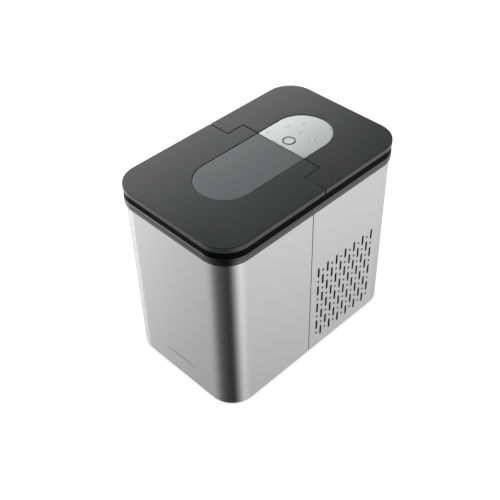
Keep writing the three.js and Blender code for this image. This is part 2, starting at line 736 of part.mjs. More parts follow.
const powerY = hingeLineY + POWER_FROM_HINGE;
const selectY = hingeLineY + SELECT_FROM_HINGE;
const fasciaTop = top - FASCIA_RECESS;
const fasciaBottom = fasciaTop - FASCIA_THICK;
const boardTop = lidBottom - BOARD_BELOW_LID;
const lensPlaces = LENSES.map(([x, behind]) => v2(x, hingeLineY + behind));

// Bars that link the lenses in turn, grown by a clearance, between two heights.
function lensBars(clearance, z0, z1) {
  const wide = LENS_BAR / 2 + clearance;
  return lensPlaces.slice(1).map((to, i) => {
    const from = lensPlaces[i];
    const run = to.clone().sub(from);
    const half = run.length() / 2 + wide;
    const middle = from.clone().lerp(to, 0.5);
    const link = box(-half, half, -wide, wide, z0, z1);
    return link.rotateZ(run.angle()).translate(middle.x, middle.y, 0);
  });
}

function rearCover() {
  const outside = prism(lidPlan(stepY + LID_GAP, coverFrontY, TONGUE_HALF + LID_GAP), 0, far);
  const rearRegion = (y) => prism(rect(-far, far, y, far), 0, far);
  const pocket = solid(prism(oval(0), fasciaBottom - GAP, far));
  const buttonHole = (radius, x, y) =>
    rod("z", radius + BUTTON_FLANGE + BUTTON_GAP, 0, far, x, y, 24);
  const skirtBottom = deckTop + COVER_SKIRT_ABOVE_DECK;
  const skirtOut = prism(bodyOutline(-COLLAR_WALL - SKIRT_CLEARANCE), skirtBottom, lidBottom + past);
  const skirtIn = prism(bodyOutline(-COLLAR_WALL - SKIRT_CLEARANCE - SKIRT_WALL), 0, far);
  const skirt = keep(cut(solid(skirtOut), skirtIn), rearRegion(coverFrontY + COVER_SKIRT_FROM_FRONT));
  const plate = topPlate().subtract(solid(outside)).subtract(pocket);
  const cover = cut(
    plate.add(skirt),
    buttonHole(POWER_RADIUS, 0, powerY),
    buttonHole(SELECT_RADIUS, SELECT_X, selectY),
    ...lensBars(GAP, 0, far),
    pinHole(TONGUE_HALF, TONGUE_HALF - PIN_IN_TONGUE + PIN_LENGTH + GAP),
    pinHole(-TONGUE_HALF + PIN_IN_TONGUE - PIN_LENGTH - GAP, -TONGUE_HALF),
  );
  return piece("rear_top_cover", cover, lidGrey);
}

function controls() {
  const region = prism(rect(-far, far, coverFrontY + GAP, far), 0, far);
  const hole = (radius, x, y, sides) => rod("z", radius, fasciaBottom - past, far, x, y, sides);
  const ringSeat = rod("z", RING_RADIUS + BUTTON_GAP, fasciaTop - RING_SEAT, far, 0, powerY, 24);
  const panel = cut(
    keep(solid(prism(oval(GAP), fasciaBottom, fasciaTop)), region),
    hole(POWER_RADIUS + BUTTON_GAP, 0, powerY, 24),
    ringSeat,
    hole(SELECT_RADIUS + BUTTON_GAP, SELECT_X, selectY, 16),
    ...lensPlaces.map(({ x, y }) => hole(LENS_RADIUS + GAP, x, y, 10)),
  );
  const ring = prism(
    circle(RING_RADIUS, 24),
    fasciaTop - RING_SEAT + GAP,
    fasciaTop + RING_HEIGHT,
    [circle(POWER_RADIUS + BUTTON_GAP, 24)],
  ).translate(0, powerY, 0);
  // A button: cap through the fascia, wider foot under it.
  const button = (radius) => {
    const [foot, crown] = [boardTop + BUTTON_TRAVEL + GAP, fasciaTop + BUTTON_RISE];
    const flangeTop = fasciaBottom - GAP;
    const flangeBottom = flangeTop - BUTTON_FLANGE_THICK;
    const profile = [
      [0, foot],
      [radius - BUTTON_STEM_INSET, foot],
      [radius - BUTTON_STEM_INSET, flangeBottom],
      [radius + BUTTON_FLANGE, flangeBottom],
      [radius + BUTTON_FLANGE, flangeTop],
      [radius, flangeTop],
      [radius, crown - BUTTON_ROUND / 2],
      [radius - BUTTON_ROUND, crown],
      [0, crown],
    ];
    return turned(profile, 24);
  };
  // One moulding: bars under the fascia, with a lens standing up into each hole.
  const barTop = fasciaBottom - GAP;
  const barBottom = barTop - LENS_BAR_THICK;
  const links = lensBars(0, barBottom, barTop);
  const lenses = lensPlaces.map(({ x, y }) =>
    rod("z", LENS_RADIUS, barBottom, fasciaTop, x, y, 10),
  );
  const { half, from, to } = CONTROL_BOARD;
  const [boardFront, boardBack] = [coverFrontY + from, coverFrontY + to];
  const board = box(-half, half, boardFront, boardBack, boardTop - BOARD_THICK, boardTop);
  return group(
    piece("control_fascia", panel, silver),
    piece("power_ring", ring, chrome),
    piece("power_button", button(POWER_RADIUS), whitePlastic, v3(0, powerY, 0)),
    piece("select_button", button(SELECT_RADIUS), whitePlastic, v3(SELECT_X, selectY, 0)),
    piece("indicator_light_pipe", join(...links, ...lenses), clearPlastic),
    piece("control_board", board, boardGreen),
  );
}

// ---------- ice chamber ----------
function iceChamber() {
  const rearOuter = linerRearY + LINER_WALL;
  const plan = (halfWidth, y0, y1, radius) =>
    roundedRect(2 * halfWidth, y1 - y0, radius, 5, 0, (y0 + y1) / 2);
  const inner = plan(chamberSide, chamberFrontY, linerRearY, LINER_RADIUS);
  const wall = plan(linerSideOuter, linerFrontOuter, rearOuter, LINER_RADIUS + LINER_WALL);
  const flangeFront = linerFrontOuter - LINER_FLANGE;
  const flangeRadius = BODY_RADIUS - (flangeFront - front); // keeps to the body's corners
  const flange = plan(linerSideOuter + LINER_FLANGE, flangeFront, rearOuter, flangeRadius);
  const ledgeRear = basketRearY + LEDGE_PAST_BASKET;
  const ledge = (sx) => {
    const [x0, x1] = [chamberSide - LEDGE_WIDTH, chamberSide + past];
    const y0 = chamberFrontY + LINER_RADIUS;
    const [a, b] = sx > 0 ? [x0, x1] : [-x1, -x0];
    return box(a, b, y0, ledgeRear, ledgeTop - LEDGE_THICK, ledgeTop);
  };
  const shaftHole = (y, z) =>
    rod("x", AXLE_RADIUS + RUNNING, -linerSideOuter - past, linerSideOuter + past, y, z, 12);
  const stubHole = (x) =>
    rod("y", STUB_RADIUS + RUNNING, linerRearY - past, bayFrontY + past, x, headerZ, 12);
  const hollow = cut(
    join(
      prism(wall, linerBottom, linerTop),
      prism(flange, linerTop - LINER_WALL, linerTop),
    ),
    prism(inner, chamberFloor, linerTop + past),
  );
  const liner = cut(
    hollow.add(join(ledge(1), ledge(-1))),
    shaftHole(trayFrontY, trayAxleZ),
    shaftHole(shovelAxleY, shovelAxleZ),
    stubHole(stubX),
    stubHole(-stubX),
    rod("x", SPOUT_BORE + RUNNING, -linerSideOuter - past, -chamberSide + past, drainY, drainZ, 16),
  );
  const foamTop = shellTop - COLLAR_SKIRT - GAP;
  const foamInset = side - foamSide;
  const foamRegion = prism(rect(-far, far, -far, rearOuter), 0, far);
  const motorRoom = rod(
    "x",
    MOTOR_RADIUS + GAP,
    linerSideOuter - past,
    foamSide + past,
    trayFrontY,
    trayAxleZ,
    20,
  );
  const jacket = cut(
    keep(solid(prism(bodyOutline(-foamInset), foamBottom, foamTop)), foamRegion),
    prism(
      plan(linerSideOuter + GAP, linerFrontOuter - GAP, far, LINER_RADIUS + LINER_WALL),
      linerBottom - GAP,
      far,
    ),
    motorRoom,
    rod("x", SPOUT_RADIUS + GAP, -far, -linerSideOuter + past, drainY, drainZ, 16),
  );
  return group(
    piece("inner_liner", liner, whitePlastic),
    piece("tank_insulation", jacket, foam),
    iceBasket(),
    bulkhead(),
    drain(),
  );
}

function iceBasket() {
  const half = chamberSide - BASKET_CLEARANCE;
  const y0 = chamberFrontY + BASKET_CLEARANCE;
  const [y1, z0] = [basketRearY, ledgeTop + GAP];
  const radius = LINER_RADIUS - BASKET_CLEARANCE;
  const plan = (inset) =>
    roundedRect(2 * (half - inset), y1 - y0 - 2 * inset, radius - inset, 4, 0, (y0 + y1) / 2);
  const h = BASKET_SLOT / 2;
  const floorTop = z0 + BASKET_WALL;
  const [low, high] = [z0 + BASKET_SLOT_FROM_FLOOR, basketTop - BASKET_SLOT_FROM_TOP];
  const [first, last] = [y0 + BASKET_SLOT_FROM_ENDS, y1 - BASKET_SLOT_FROM_ENDS];
  const slots = [];
  for (let x = -BASKET_SLOT_SPREAD; x <= BASKET_SLOT_SPREAD; x += BASKET_SLOT_PITCH) {
    slots.push(box(x - h, x + h, first, last, z0 - past, floorTop + past));
    slots.push(box(x - h, x + h, y1 - BASKET_WALL - past, y1 + past, low, high));
  }
  for (let y = first; y <= last; y += BASKET_SLOT_PITCH)
    slots.push(box(-far, far, y - h, y + h, low, high));
  const { half: tabHalf, deep, thick } = BASKET_TAB;
  const tabFront = y0 + BASKET_WALL - past;
  const tab = box(-tabHalf, tabHalf, tabFront, y0 + deep, basketTop - thick, basketTop);
  const shell = cut(
    solid(prism(plan(0), z0, basketTop)),
    prism(plan(BASKET_WALL), floorTop, basketTop + past),
    ...slots,
  );
  return piece("ice_basket", shell.add(solid(tab)), clearPlastic);
}

function bulkhead() {
  const half = side - SHEET - 3 * GAP - COLLAR_SKIRT_WALL - GAP;
  const plate = box(-half, half, bulkheadY, bayFrontY, basePlateTop + GAP, linerTop);
  const holes = [stubX, -stubX].map((x) =>
    rod("y", STUB_RADIUS + RUNNING, bulkheadY - past, bayFrontY + past, x, headerZ, 12),
  );
  return piece("bulkhead", cut(solid(plate), ...holes), whitePlastic);
}

// Drain: a spout from the reservoir out through the left side, closed by a pull-out cap.
function drain() {
  const spoutIn = -linerSideOuter - GAP;
  const spoutOut = -side;
  const along = (geometry) => geometry.rotateY(-Math.PI / 2); // +Z becomes -X
  const spout = turned([
    [SPOUT_BORE, 0],
    [SPOUT_RADIUS, 0],
    [SPOUT_RADIUS, spoutIn - spoutOut],
    [SPOUT_BORE, spoutIn - spoutOut],
    [SPOUT_BORE, 0],
  ], 16);
  const plugRadius = SPOUT_BORE - RUNNING;
  const cap = turned([
    [0, -CAP_PLUG],
    [plugRadius - 0.8, -CAP_PLUG],
    [plugRadius, -CAP_PLUG + 1.5],
    [plugRadius, GAP],
    [CAP_RADIUS, GAP],
    [CAP_RADIUS, CAP_THICK - 0.6],
    [CAP_RADIUS - 1, CAP_THICK],
    [0, CAP_THICK],
  ], 20);
  return group(
    piece("drain_spout", along(spout), whitePlastic, v3(spoutIn, drainY, drainZ)),
    piece("drain_cap", along(cap), rubber, v3(spoutOut, drainY, drainZ)),
  );
}

// ---------- ice mechanism ----------
function mechanism() {
  const headerEnd = stubX + HEADER_PAST_STUB;
  const fingerCount = Math.floor((2 * (headerEnd - FINGER_RADIUS)) / FINGER_PITCH) + 1;
  const fingerSpan = ((fingerCount - 1) / 2) * FINGER_PITCH;
  const header = rod("x", HEADER_RADIUS, -headerEnd, headerEnd, fingersY, headerZ, 14);
  const finger = (x) => {
    const bottom = headerZ - FINGER_LENGTH;
    const profile = [
      [0, bottom],
      [FINGER_RADIUS * 0.7, bottom + 1.4],
      [FINGER_RADIUS, bottom + FINGER_RADIUS],
      [FINGER_RADIUS, headerZ],
      [0, headerZ],
    ];
    return turned(profile, 12).translate(x, fingersY, 0);
  };
  const fingers = Array.from({ length: fingerCount }, (_, i) =>
    finger(-fingerSpan + i * FINGER_PITCH),
  );
  const stubEnd = bayFrontY + STUB_PAST_BULKHEAD;
  const stubs = [stubX, -stubX].map((x) =>
    rod("y", STUB_RADIUS, fingersY, stubEnd, x, headerZ, 12),
  );

  const trayBottom = trayTop - TRAY_HEIGHT;
  const trayBox = box(-trayHalf, trayHalf, trayFrontY, trayRearY, trayBottom, trayTop);
  const cavity = box(
    -trayHalf + TRAY_WALL,
    trayHalf - TRAY_WALL,
    trayFrontY + TRAY_WALL,
    trayRearY - TRAY_WALL,
    trayBottom + TRAY_WALL,
    trayTop + past,
  );
  const axle = (x0, x1) => rod("x", AXLE_RADIUS, x0, x1, trayFrontY, trayAxleZ, 12);
  const boss = (sx) => {
    const [inner, outer] = [trayHalf - TRAY_WALL, trayHalf + TRAY_BOSS_OUT];
    const [x0, x1] = sx > 0 ? [inner, outer] : [-outer, -inner];
    return rod("x", AXLE_RADIUS + TRAY_BOSS_WALL, x0, x1, trayFrontY, trayAxleZ, 14);
  };
  const motorIn = linerSideOuter + GAP;
  const tray = cut(
    join(
      trayBox,
      boss(1),
      boss(-1),
      axle(trayHalf, motorIn + SHAFT_IN_MOTOR - GAP),
      axle(-linerSideOuter + GAP, -trayHalf),
    ),
    cavity,
  );
  const motor = cut(
    solid(rod("x", MOTOR_RADIUS, motorIn, motorIn + MOTOR_THICK, trayFrontY, trayAxleZ, 20)),
    rod("x", AXLE_RADIUS + RUNNING, motorIn - past, motorIn + SHAFT_IN_MOTOR, trayFrontY, trayAxleZ, 12),
  );

  const shovelBottom = shovelAxleZ - SHOVEL_LENGTH;
  const blade = box(
    -shovelHalf,
    shovelHalf,
    shovelAxleY - SHOVEL_THICK / 2,
    shovelAxleY + SHOVEL_THICK / 2,
    shovelBottom,
    shovelAxleZ,
  );
  const rail = rod(
    "x",
    AXLE_RADIUS,
    -linerSideOuter + GAP,
    linerSideOuter - GAP,
    shovelAxleY,
    shovelAxleZ,
    12,
  );
  const slotPitch = (2 * shovelHalf) / (SHOVEL_SLOTS + 1);
  const h = SHOVEL_SLOT_WIDTH / 2;
  const slots = Array.from({ length: SHOVEL_SLOTS }, (_, i) => {
    const x = -shovelHalf + (i + 1) * slotPitch;
    const [y0, y1] = [shovelAxleY - SHOVEL_THICK, shovelAxleY + SHOVEL_THICK];
    return box(x - h, x + h, y0, y1, shovelBottom - past, shovelAxleZ - SHOVEL_SOLID_TOP);
  });
  const shovel = cut(join(blade, rail), ...slots);

  const sensorY = basketRearY - SENSOR_FROM_BASKET_REAR;
  const sensorZ = basketTop + SENSOR_ABOVE_BASKET;
  const sensor = box(
    chamberSide - GAP - SENSOR.wide,
    chamberSide - GAP,
    sensorY,
    sensorY + SENSOR.deep,
    sensorZ,
    sensorZ + SENSOR.high,
  );
  return group(
    piece("evaporator", join(header, ...fingers, ...stubs), aluminium),
    piece("water_tray", tray, clearPlastic),
    piece("tray_motor", motor, blackPlastic),
    piece("ice_shovel", shovel, whitePlastic),
    piece("ice_full_sensor", sensor, blackPlastic),
  );
}

// ---------- water circuit ----------
function waterCircuit() {
  const floor = chamberFloor + GAP;
  const pumpY = linerRearY - PUMP_FROM_REAR;
  const pump = turned([
    [0, 0],
    [PUMP_RADIUS, 0],
    [PUMP_RADIUS, PUMP_HEIGHT * 0.7],
    [PUMP_RADIUS * 0.6, PUMP_HEIGHT * 0.75],
    [PUMP_RADIUS * 0.6, PUMP_HEIGHT],
    [0, PUMP_HEIGHT],
  ]);
  const hoseX = -(trayHalf + chamberSide) / 2;
  const hoseRear = linerRearY - LINER_RADIUS; // clear of the rounded corner
  const pumpTop = floor + PUMP_HEIGHT + GAP;
  const spoutZ = headerZ - HEADER_RADIUS - HOSE_RADIUS - 9;
  const hose = bar(
    [
      v3(PUMP_X, pumpY, pumpTop),
      v3(PUMP_X, pumpY, pumpTop + 10),
      v3((PUMP_X + hoseX) / 2, (pumpY + hoseRear) / 2, pumpTop + 24),
      v3(hoseX + 3, hoseRear - 2, pumpTop + 40),
      v3(hoseX, hoseRear, pumpTop + 60),
      v3(hoseX, hoseRear, trayTop),
      v3(hoseX, hoseRear, spoutZ - 4),
      v3(hoseX + 6, hoseRear, spoutZ + 2),
      v3(-trayHalf + 5, hoseRear, spoutZ - 1),
    ],
    HOSE_RADIUS,
    8,
    28,
  );
  const stem = turned([
    [0, 0],
    [STEM_FOOT.radius, 0],
    [STEM_FOOT.radius, STEM_FOOT.thick],
    [STEM_RADIUS, STEM_FOOT.thick],
    [STEM_RADIUS, STEM_HEIGHT - STEM_HEAD / 2],
    [STEM_HEAD, STEM_HEIGHT - STEM_HEAD / 3],
    [STEM_HEAD, STEM_HEIGHT],
    [0, STEM_HEIGHT],
  ], 12);
  const bore = STEM_RADIUS + RUNNING;
  const floatRing = turned([
    [bore, 0],
    [FLOAT_RADIUS - 1, 0],
    [FLOAT_RADIUS, 1],
    [FLOAT_RADIUS, FLOAT_HEIGHT - 1],
    [FLOAT_RADIUS - 1, FLOAT_HEIGHT],
    [bore, FLOAT_HEIGHT],
    [bore, 0],
  ], 16);
  return group(
    piece("water_pump", pump, blackPlastic, v3(PUMP_X, pumpY, floor)),
    piece("pump_hose", hose, clearPlastic),
    piece("float_stem", stem, whitePlastic, v3(FLOAT_X, pumpY, floor)),
    piece("level_float", floatRing, blackPlastic, v3(FLOAT_X, pumpY, floor + STEM_FOOT.thick + GAP)),
  );
}

// ---------- cooling unit ----------
function compressorSet() {
  const [r, h] = [COMPRESSOR_RADIUS, COMPRESSOR_HEIGHT];
  const dome = turned([
    [0, 0],
    [r * 0.62, 2],
    [r * 0.9, h * 0.12],
    [r - COMPRESSOR_RIB, h * 0.26],
    [r - COMPRESSOR_RIB, h * 0.5],
    [r, h * 0.5],
    [r, h * 0.54],
    [r - COMPRESSOR_RIB, h * 0.54],
    [r - COMPRESSOR_RIB, h * 0.74],
    [r * 0.84, h * 0.9],
    [r * 0.55, h * 0.98],
    [0, h],
  ], 28);
  const plateBottom = basePlateTop + GROMMET_HEIGHT + 2 * GAP;
  const plateSide = 2 * (r - COMPRESSOR_PLATE);
  const plate = cut(
    solid(
      prism(
        roundedRect(plateSide, plateSide, COMPRESSOR_PLATE_CORNER, 4, compressorX, bayMidY),
        plateBottom,
        plateBottom + COMPRESSOR_PLATE,
      ),
    ),
    rod("z", r * 0.3, 0, far, compressorX, bayMidY, 16),
  );
  const grommet = turned([
    [0, 0],
    [GROMMET_RADIUS, 0],
    [GROMMET_RADIUS, GROMMET_HEIGHT * 0.35],
    [GROMMET_RADIUS - 2, GROMMET_HEIGHT * 0.5],
    [GROMMET_RADIUS, GROMMET_HEIGHT * 0.65],
    [GROMMET_RADIUS, GROMMET_HEIGHT],
    [0, GROMMET_HEIGHT],
  ], 12);
  const { wide, deep, high } = RELAY;
  const [relayX, relayY] = [compressorX - wide / 2, bayMidY + r - COMPRESSOR_RIB + GAP];
  const relayZ = compressorZ + h * 0.54 + GAP;
  const relay = box(relayX, relayX + wide, relayY, relayY + deep, relayZ, relayZ + high);
  const grommetZ = basePlateTop + GAP;
  return group(
    piece("compressor", dome, castMetal, v3(compressorX, bayMidY, compressorZ)),
    piece("compressor_plate", plate, steel),
    grommetPlaces.map(([name, x, y]) => piece(name, grommet, rubber, v3(x, y, grommetZ))),
    piece("start_relay", relay, blackPlastic),
  );
}

function condenserSet() {
  const { thick, deep, high } = CONDENSER;
  const y0 = airY - deep / 2;
  const z0 = basePlateTop + GAP;
  const slots = [];
  for (let z = z0 + FIN_PITCH; z + FIN_SLOT < z0 + high; z += FIN_PITCH)
    slots.push(
      box(condenserX - past, condenserX + FIN_DEPTH, y0 - past, y0 + deep + past, z, z + FIN_SLOT),
    );
  const block = cut(
    solid(box(condenserX, condenserX + thick, y0, y0 + deep, z0, z0 + high)),
    ...slots,
  );

  const bore = FAN_RADIUS + FAN_TIP_CLEARANCE;
  const half = SHROUD.side / 2;
  const inner = fanX + SHROUD.thick; // the face the motor hangs on
  const web = inner - SHROUD.wall;
  const h = SHROUD.spokeHalf;
  const frame = cut(
    solid(box(fanX, inner, airY - half, airY + half, fanZ - half, fanZ + half)),
    rod("x", bore, fanX - past, web, airY, fanZ, 28),
    rod("x", bore - SHROUD.lip, fanX, inner + past, airY, fanZ, 28),
  );
  const spokes = join(
    box(web, inner, airY - bore, airY + bore, fanZ - h, fanZ + h),
    box(web, inner, airY - h, airY + h, fanZ - bore, fanZ + bore),
    rod("x", FAN_MOTOR_RADIUS, web, inner, airY, fanZ, 20),
  );
  const shaftHole = rod("x", FAN_SHAFT + 2 * RUNNING, fanX - past, far, airY, fanZ, 12);
  const shroud = cut(frame.add(spokes), shaftHole);
  const motorFrom = inner + GAP;
  const motor = rod(
    "x",
    FAN_MOTOR_RADIUS,
    motorFrom,
    motorFrom + FAN_MOTOR_LENGTH,
    airY,
    fanZ,
    20,
  );
  return group(
    piece("condenser", block, aluminium),
    piece("fan_shroud", shroud, blackPlastic),
    piece("fan_motor", motor, castMetal),
    fanRotor(inner),
  );
}

// Hub, shaft and pitched blades, turning about X.
function fanRotor(inner) {
  const x0 = fanX + FAN_IN_SHROUD;
  const root = FAN_HUB - 3; // blades start inside the hub
  const hub = rod("x", FAN_HUB, x0, x0 + FAN_DEPTH, airY, fanZ, 20);
  const shaft = rod("x", FAN_SHAFT, x0, inner, airY, fanZ, 12);
  const blade = (i) => {
    const length = FAN_RADIUS - root;
    const geometry = new THREE.BoxGeometry(FAN_BLADE.thick, FAN_BLADE.wide, length);
    geometry.rotateZ(THREE.MathUtils.degToRad(FAN_BLADE.pitch));
    geometry.translate(0, 0, root + length / 2);
    geometry.rotateX((2 * Math.PI * i) / FAN_BLADES);
    return geometry.translate(x0 + FAN_DEPTH / 2, airY, fanZ);
  };
  const blades = Array.from({ length: FAN_BLADES }, (_, i) => blade(i));
  const disc = rod("x", FAN_RADIUS, x0, x0 + FAN_DEPTH, airY, fanZ, 28);
  const rotor = keep(join(hub, ...blades), disc);
  return piece("fan_rotor", rotor.add(solid(shaft)), blackPlastic);
}

function refrigerantLines() {
  const compressorTop = compressorZ + COMPRESSOR_HEIGHT;
  const stubEnd = bayFrontY + STUB_PAST_BULKHEAD + GAP;
  const shellGap = TUBE_RADIUS + 4;
  const suctionX = compressorX + COMPRESSOR_RADIUS * 0.3;
  const suction = bar(
    [
      v3(stubX, stubEnd, headerZ),
      v3(stubX, stubEnd + 12, headerZ),
      v3((stubX + suctionX) / 2, bayMidY - 20, headerZ - 12),
      v3(suctionX, bayMidY, headerZ - 40),
      v3(suctionX, bayMidY, compressorTop + 20),
      v3(suctionX, bayMidY, compressorTop + 1),
    ],
    TUBE_RADIUS,
  );
  const dischargeX = compressorX - COMPRESSOR_RADIUS * 0.3;
  const dischargeY = bayMidY + 20;
  const condenserInX = condenserX + CONDENSER.thick / 2;
  const condenserTop = basePlateTop + GAP + CONDENSER.high;
  const discharge = bar(
    [
      v3(dischargeX, dischargeY, compressorTop + 1),
      v3(dischargeX, dischargeY, compressorTop + 16),
      v3((dischargeX + condenserInX) / 2, dischargeY + 10, compressorTop + 26),
      v3(condenserInX, dischargeY, compressorTop + 14),
      v3(condenserInX, dischargeY, condenserTop + GAP),
    ],
    TUBE_RADIUS,
  );
  const drierX = fanX + SHROUD.thick + FAN_MOTOR_LENGTH / 2;
  const drierY = back - SHEET - DRIER_RADIUS - shellGap;
  const drierZ = fanZ + FAN_MOTOR_RADIUS + 4;
  const drier = turned([
    [0, 0],
    [DRIER_NECK, 1],
    [DRIER_RADIUS, DRIER_TAPER],
    [DRIER_RADIUS, DRIER_LENGTH - DRIER_TAPER],
    [DRIER_NECK, DRIER_LENGTH - 1],
    [0, DRIER_LENGTH],
  ], 14);
  const drierTop = drierZ + DRIER_LENGTH + GAP;
  const valveZ = headerZ - VALVE.drop;
  const valvePlace = v3(VALVE.x, back - SHEET - VALVE.fromBack, 0);
  const capillary = bar(
    [
      v3(drierX, drierY, drierTop),
      v3(drierX, drierY, drierTop + 14),
      v3(drierX - 8, drierY - 20, drierTop + 30),
      v3(-stubX, bayMidY + 4, headerZ - 6),
      v3(-stubX, stubEnd + 12, headerZ),
      v3(-stubX, stubEnd, headerZ),
    ],
    CAPILLARY_RADIUS,
  );
  const valve = join(
    rod("z", VALVE.radius, valveZ - VALVE.below, valveZ + VALVE.above, 0, 0, 12),
    box(-VALVE.half, VALVE.half, -VALVE.half, VALVE.half, valveZ - 10, valveZ + 8),
  );
  return group(
    piece("suction_tube", suction, copper),
    piece("discharge_tube", discharge, copper),
    piece("filter_drier", drier, copper, v3(drierX, drierY, drierZ)),
    piece("capillary_tube", capillary, copper),
    piece("hot_gas_valve", valve, chrome, valvePlace),
  );
}

function electrics() {
  const { wide, deep, high, wall, under, standoff } = BOARD_BOX;
  const [x0, y0] = [condenserX + CONDENSER.thick + BOARD_BOX_MARGIN, bayFrontY + GAP];
  const x1 = x0 + wide;
  const z1 = headerZ - STUB_RADIUS - under;
  const [y1, z0] = [y0 + deep, z1 - high];
  const tray = cut(
    solid(box(x0, x1, y0, y1, z0, z1)),
    box(x0 + wall, x1 - wall, y0 + wall, y1 + past, z0 + wall, z1 - wall),
  );
  const [bx0, bx1] = [x0 + wall + 2, x1 - wall - 2];
  const boardY = y0 + wall + standoff;
  const board = join(
    box(bx0, bx1, boardY, boardY + BOARD_THICK, z0 + wall + 2, z1 - wall - 2),
    box(bx0 + 8, bx0 + 30, boardY + 1, boardY + 12, z0 + 12, z0 + 32), // transformer
    box(bx0 + 44, bx0 + 58, boardY + 1, boardY + 11, z0 + 14, z0 + 26), // relay
  );
  return group(piece("board_box", tray, blackPlastic), piece("main_board", board, boardGreen));
}

const iceMaker = group(
  housing(),
  base(),
  collar(),
  lid(),
  hingePins(),
  rearCover(),
  controls(),
  iceChamber(),
  mechanism(),
  waterCircuit(),
  compressorSet(),
  condenserSet(),
  refrigerantLines(),
  electrics(),
);
iceMaker.name = "ice_maker";

export default iceMaker;
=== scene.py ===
import json
import math

import bmesh
import bpy
from mathutils import Matrix, Vector


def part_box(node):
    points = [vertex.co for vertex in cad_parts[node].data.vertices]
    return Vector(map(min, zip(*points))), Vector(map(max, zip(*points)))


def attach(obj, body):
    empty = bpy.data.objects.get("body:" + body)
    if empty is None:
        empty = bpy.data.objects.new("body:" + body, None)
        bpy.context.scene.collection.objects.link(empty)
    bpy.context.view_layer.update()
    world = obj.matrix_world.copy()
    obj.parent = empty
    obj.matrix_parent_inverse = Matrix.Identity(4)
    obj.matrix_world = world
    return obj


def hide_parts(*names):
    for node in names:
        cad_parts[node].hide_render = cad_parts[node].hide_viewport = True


# a countertop ice maker: steel housing, chrome and black collar, hinged lid with a smoked window
# metres, +Z up, front face towards -Y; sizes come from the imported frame
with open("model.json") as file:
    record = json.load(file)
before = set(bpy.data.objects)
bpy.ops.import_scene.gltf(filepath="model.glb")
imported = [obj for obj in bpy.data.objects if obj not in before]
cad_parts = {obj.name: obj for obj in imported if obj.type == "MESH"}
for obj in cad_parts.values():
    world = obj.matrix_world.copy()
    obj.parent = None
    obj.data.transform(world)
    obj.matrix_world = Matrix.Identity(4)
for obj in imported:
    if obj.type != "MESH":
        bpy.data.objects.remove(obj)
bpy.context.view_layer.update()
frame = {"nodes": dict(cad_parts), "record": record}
mm = 0.001
fit = 0.3 * mm  # clearance where one piece sits in or on another
softEdge = 0.3 * mm  # rounding of an edge that nothing else sets
nodes = frame["nodes"]
slotOf = {part["node"]: part["material_slot"] for part in frame["record"]["subparts"]}
bodyOf = {n: body for body, members in frame["record"]["behaviour"]["bodies"].items() for n in members}
madeFor = set()  # CAD nodes that already have a finer piece
print("frame loaded:", len(nodes), "nodes")


# node trees
class Wire:
    # one output socket, so that sums on sockets read as sums
    def __init__(self, graph, socket):
        self.graph, self.socket = graph, socket

    def maths(self, operation, first, second):
        return self.graph.make("ShaderNodeMath", {0: first, 1: second}, operation=operation)

    def __add__(self, other):
        return self.maths("ADD", self, other)

    def __radd__(self, other):
        return self.maths("ADD", other, self)

    def __sub__(self, other):
        return self.maths("SUBTRACT", self, other)

    def __rsub__(self, other):
        return self.maths("SUBTRACT", other, self)

    def __mul__(self, other):
        return self.maths("MULTIPLY", self, other)

    def __rmul__(self, other):
        return self.maths("MULTIPLY", other, self)

    def __truediv__(self, other):
        return self.maths("DIVIDE", self, other)

    def __mod__(self, other):
        return self.maths("FLOORED_MODULO", self, other)

    def floor(self):
        return self.maths("FLOOR", self, 0)

    def other(self, name):
        return Wire(self.graph, self.socket.node.outputs[name])


class Graph:
    def __init__(self, tree):
        self.tree = tree

    def make(self, kind, inputs=None, output=0, **settings):
        # a node of any type: its settings are set first, then the values or links of its sockets
        node = self.tree.nodes.new(kind)
        for key, value in settings.items():
            if key == "stops":
                self.fillRamp(node.color_ramp, value)
            else:
                setattr(node, key, value)
        for key, value in (inputs or {}).items():
            for one in value if isinstance(value, list) else [value]:
                if isinstance(one, Wire):
                    self.tree.links.new(one.socket, node.inputs[key])
                else:
                    node.inputs[key].default_value = one
        return Wire(self, node.outputs[output]) if node.outputs else node

    def fillRamp(self, ramp, stops):
        while len(ramp.elements) < len(stops):
            ramp.elements.new(0.5)
        for element, (place, level) in zip(ramp.elements, stops):
            element.position = place
            element.color = level if isinstance(level, tuple) else (level, level, level, 1)

    def mixColours(self, factor, first, second):
        return self.make("ShaderNodeMix", {0: factor, 6: first, 7: second}, output=2, data_type="RGBA")

    def vector(self, **parts):
        return self.make("ShaderNodeCombineXYZ", parts)

    def spread(self, value, low, high):
        # a 0 to 1 value, spread between two levels
        return self.make("ShaderNodeMapRange", {"Value": value, "To Min": low, "To Max": high})

    def stretched(self, x, y, z):
        # object coordinates, scaled along each axis, in repeats to the metre
        place = self.make("ShaderNodeTexCoord", output=3)
        return self.make("ShaderNodeVectorMath", {0: place, 1: (x, y, z)}, operation="MULTIPLY")

    def noise(self, vector, scale, detail):
        inputs = {"Vector": vector, "Scale": scale, "Detail": detail}
        return self.make("ShaderNodeTexNoise", inputs)

    def bump(self, height, strength, distance):
        inputs = {"Height": height, "Strength": strength, "Distance": distance}
        return self.make("ShaderNodeBump", inputs)


def finish(name, constants, varying=None):
    # a Principled material: fixed values on its own sockets, and what varies from a short function
    material = bpy.data.materials.new(name)
    material.use_nodes = True
    material.node_tree.nodes.clear()
    graph = Graph(material.node_tree)
    inputs = {**constants, **(varying(graph) if varying else {})}
    shader = graph.make("ShaderNodeBsdfPrincipled", inputs)
    graph.make("ShaderNodeOutputMaterial", {"Surface": shader})
    return material


def grey(level):
    return (level, level, level, 1)


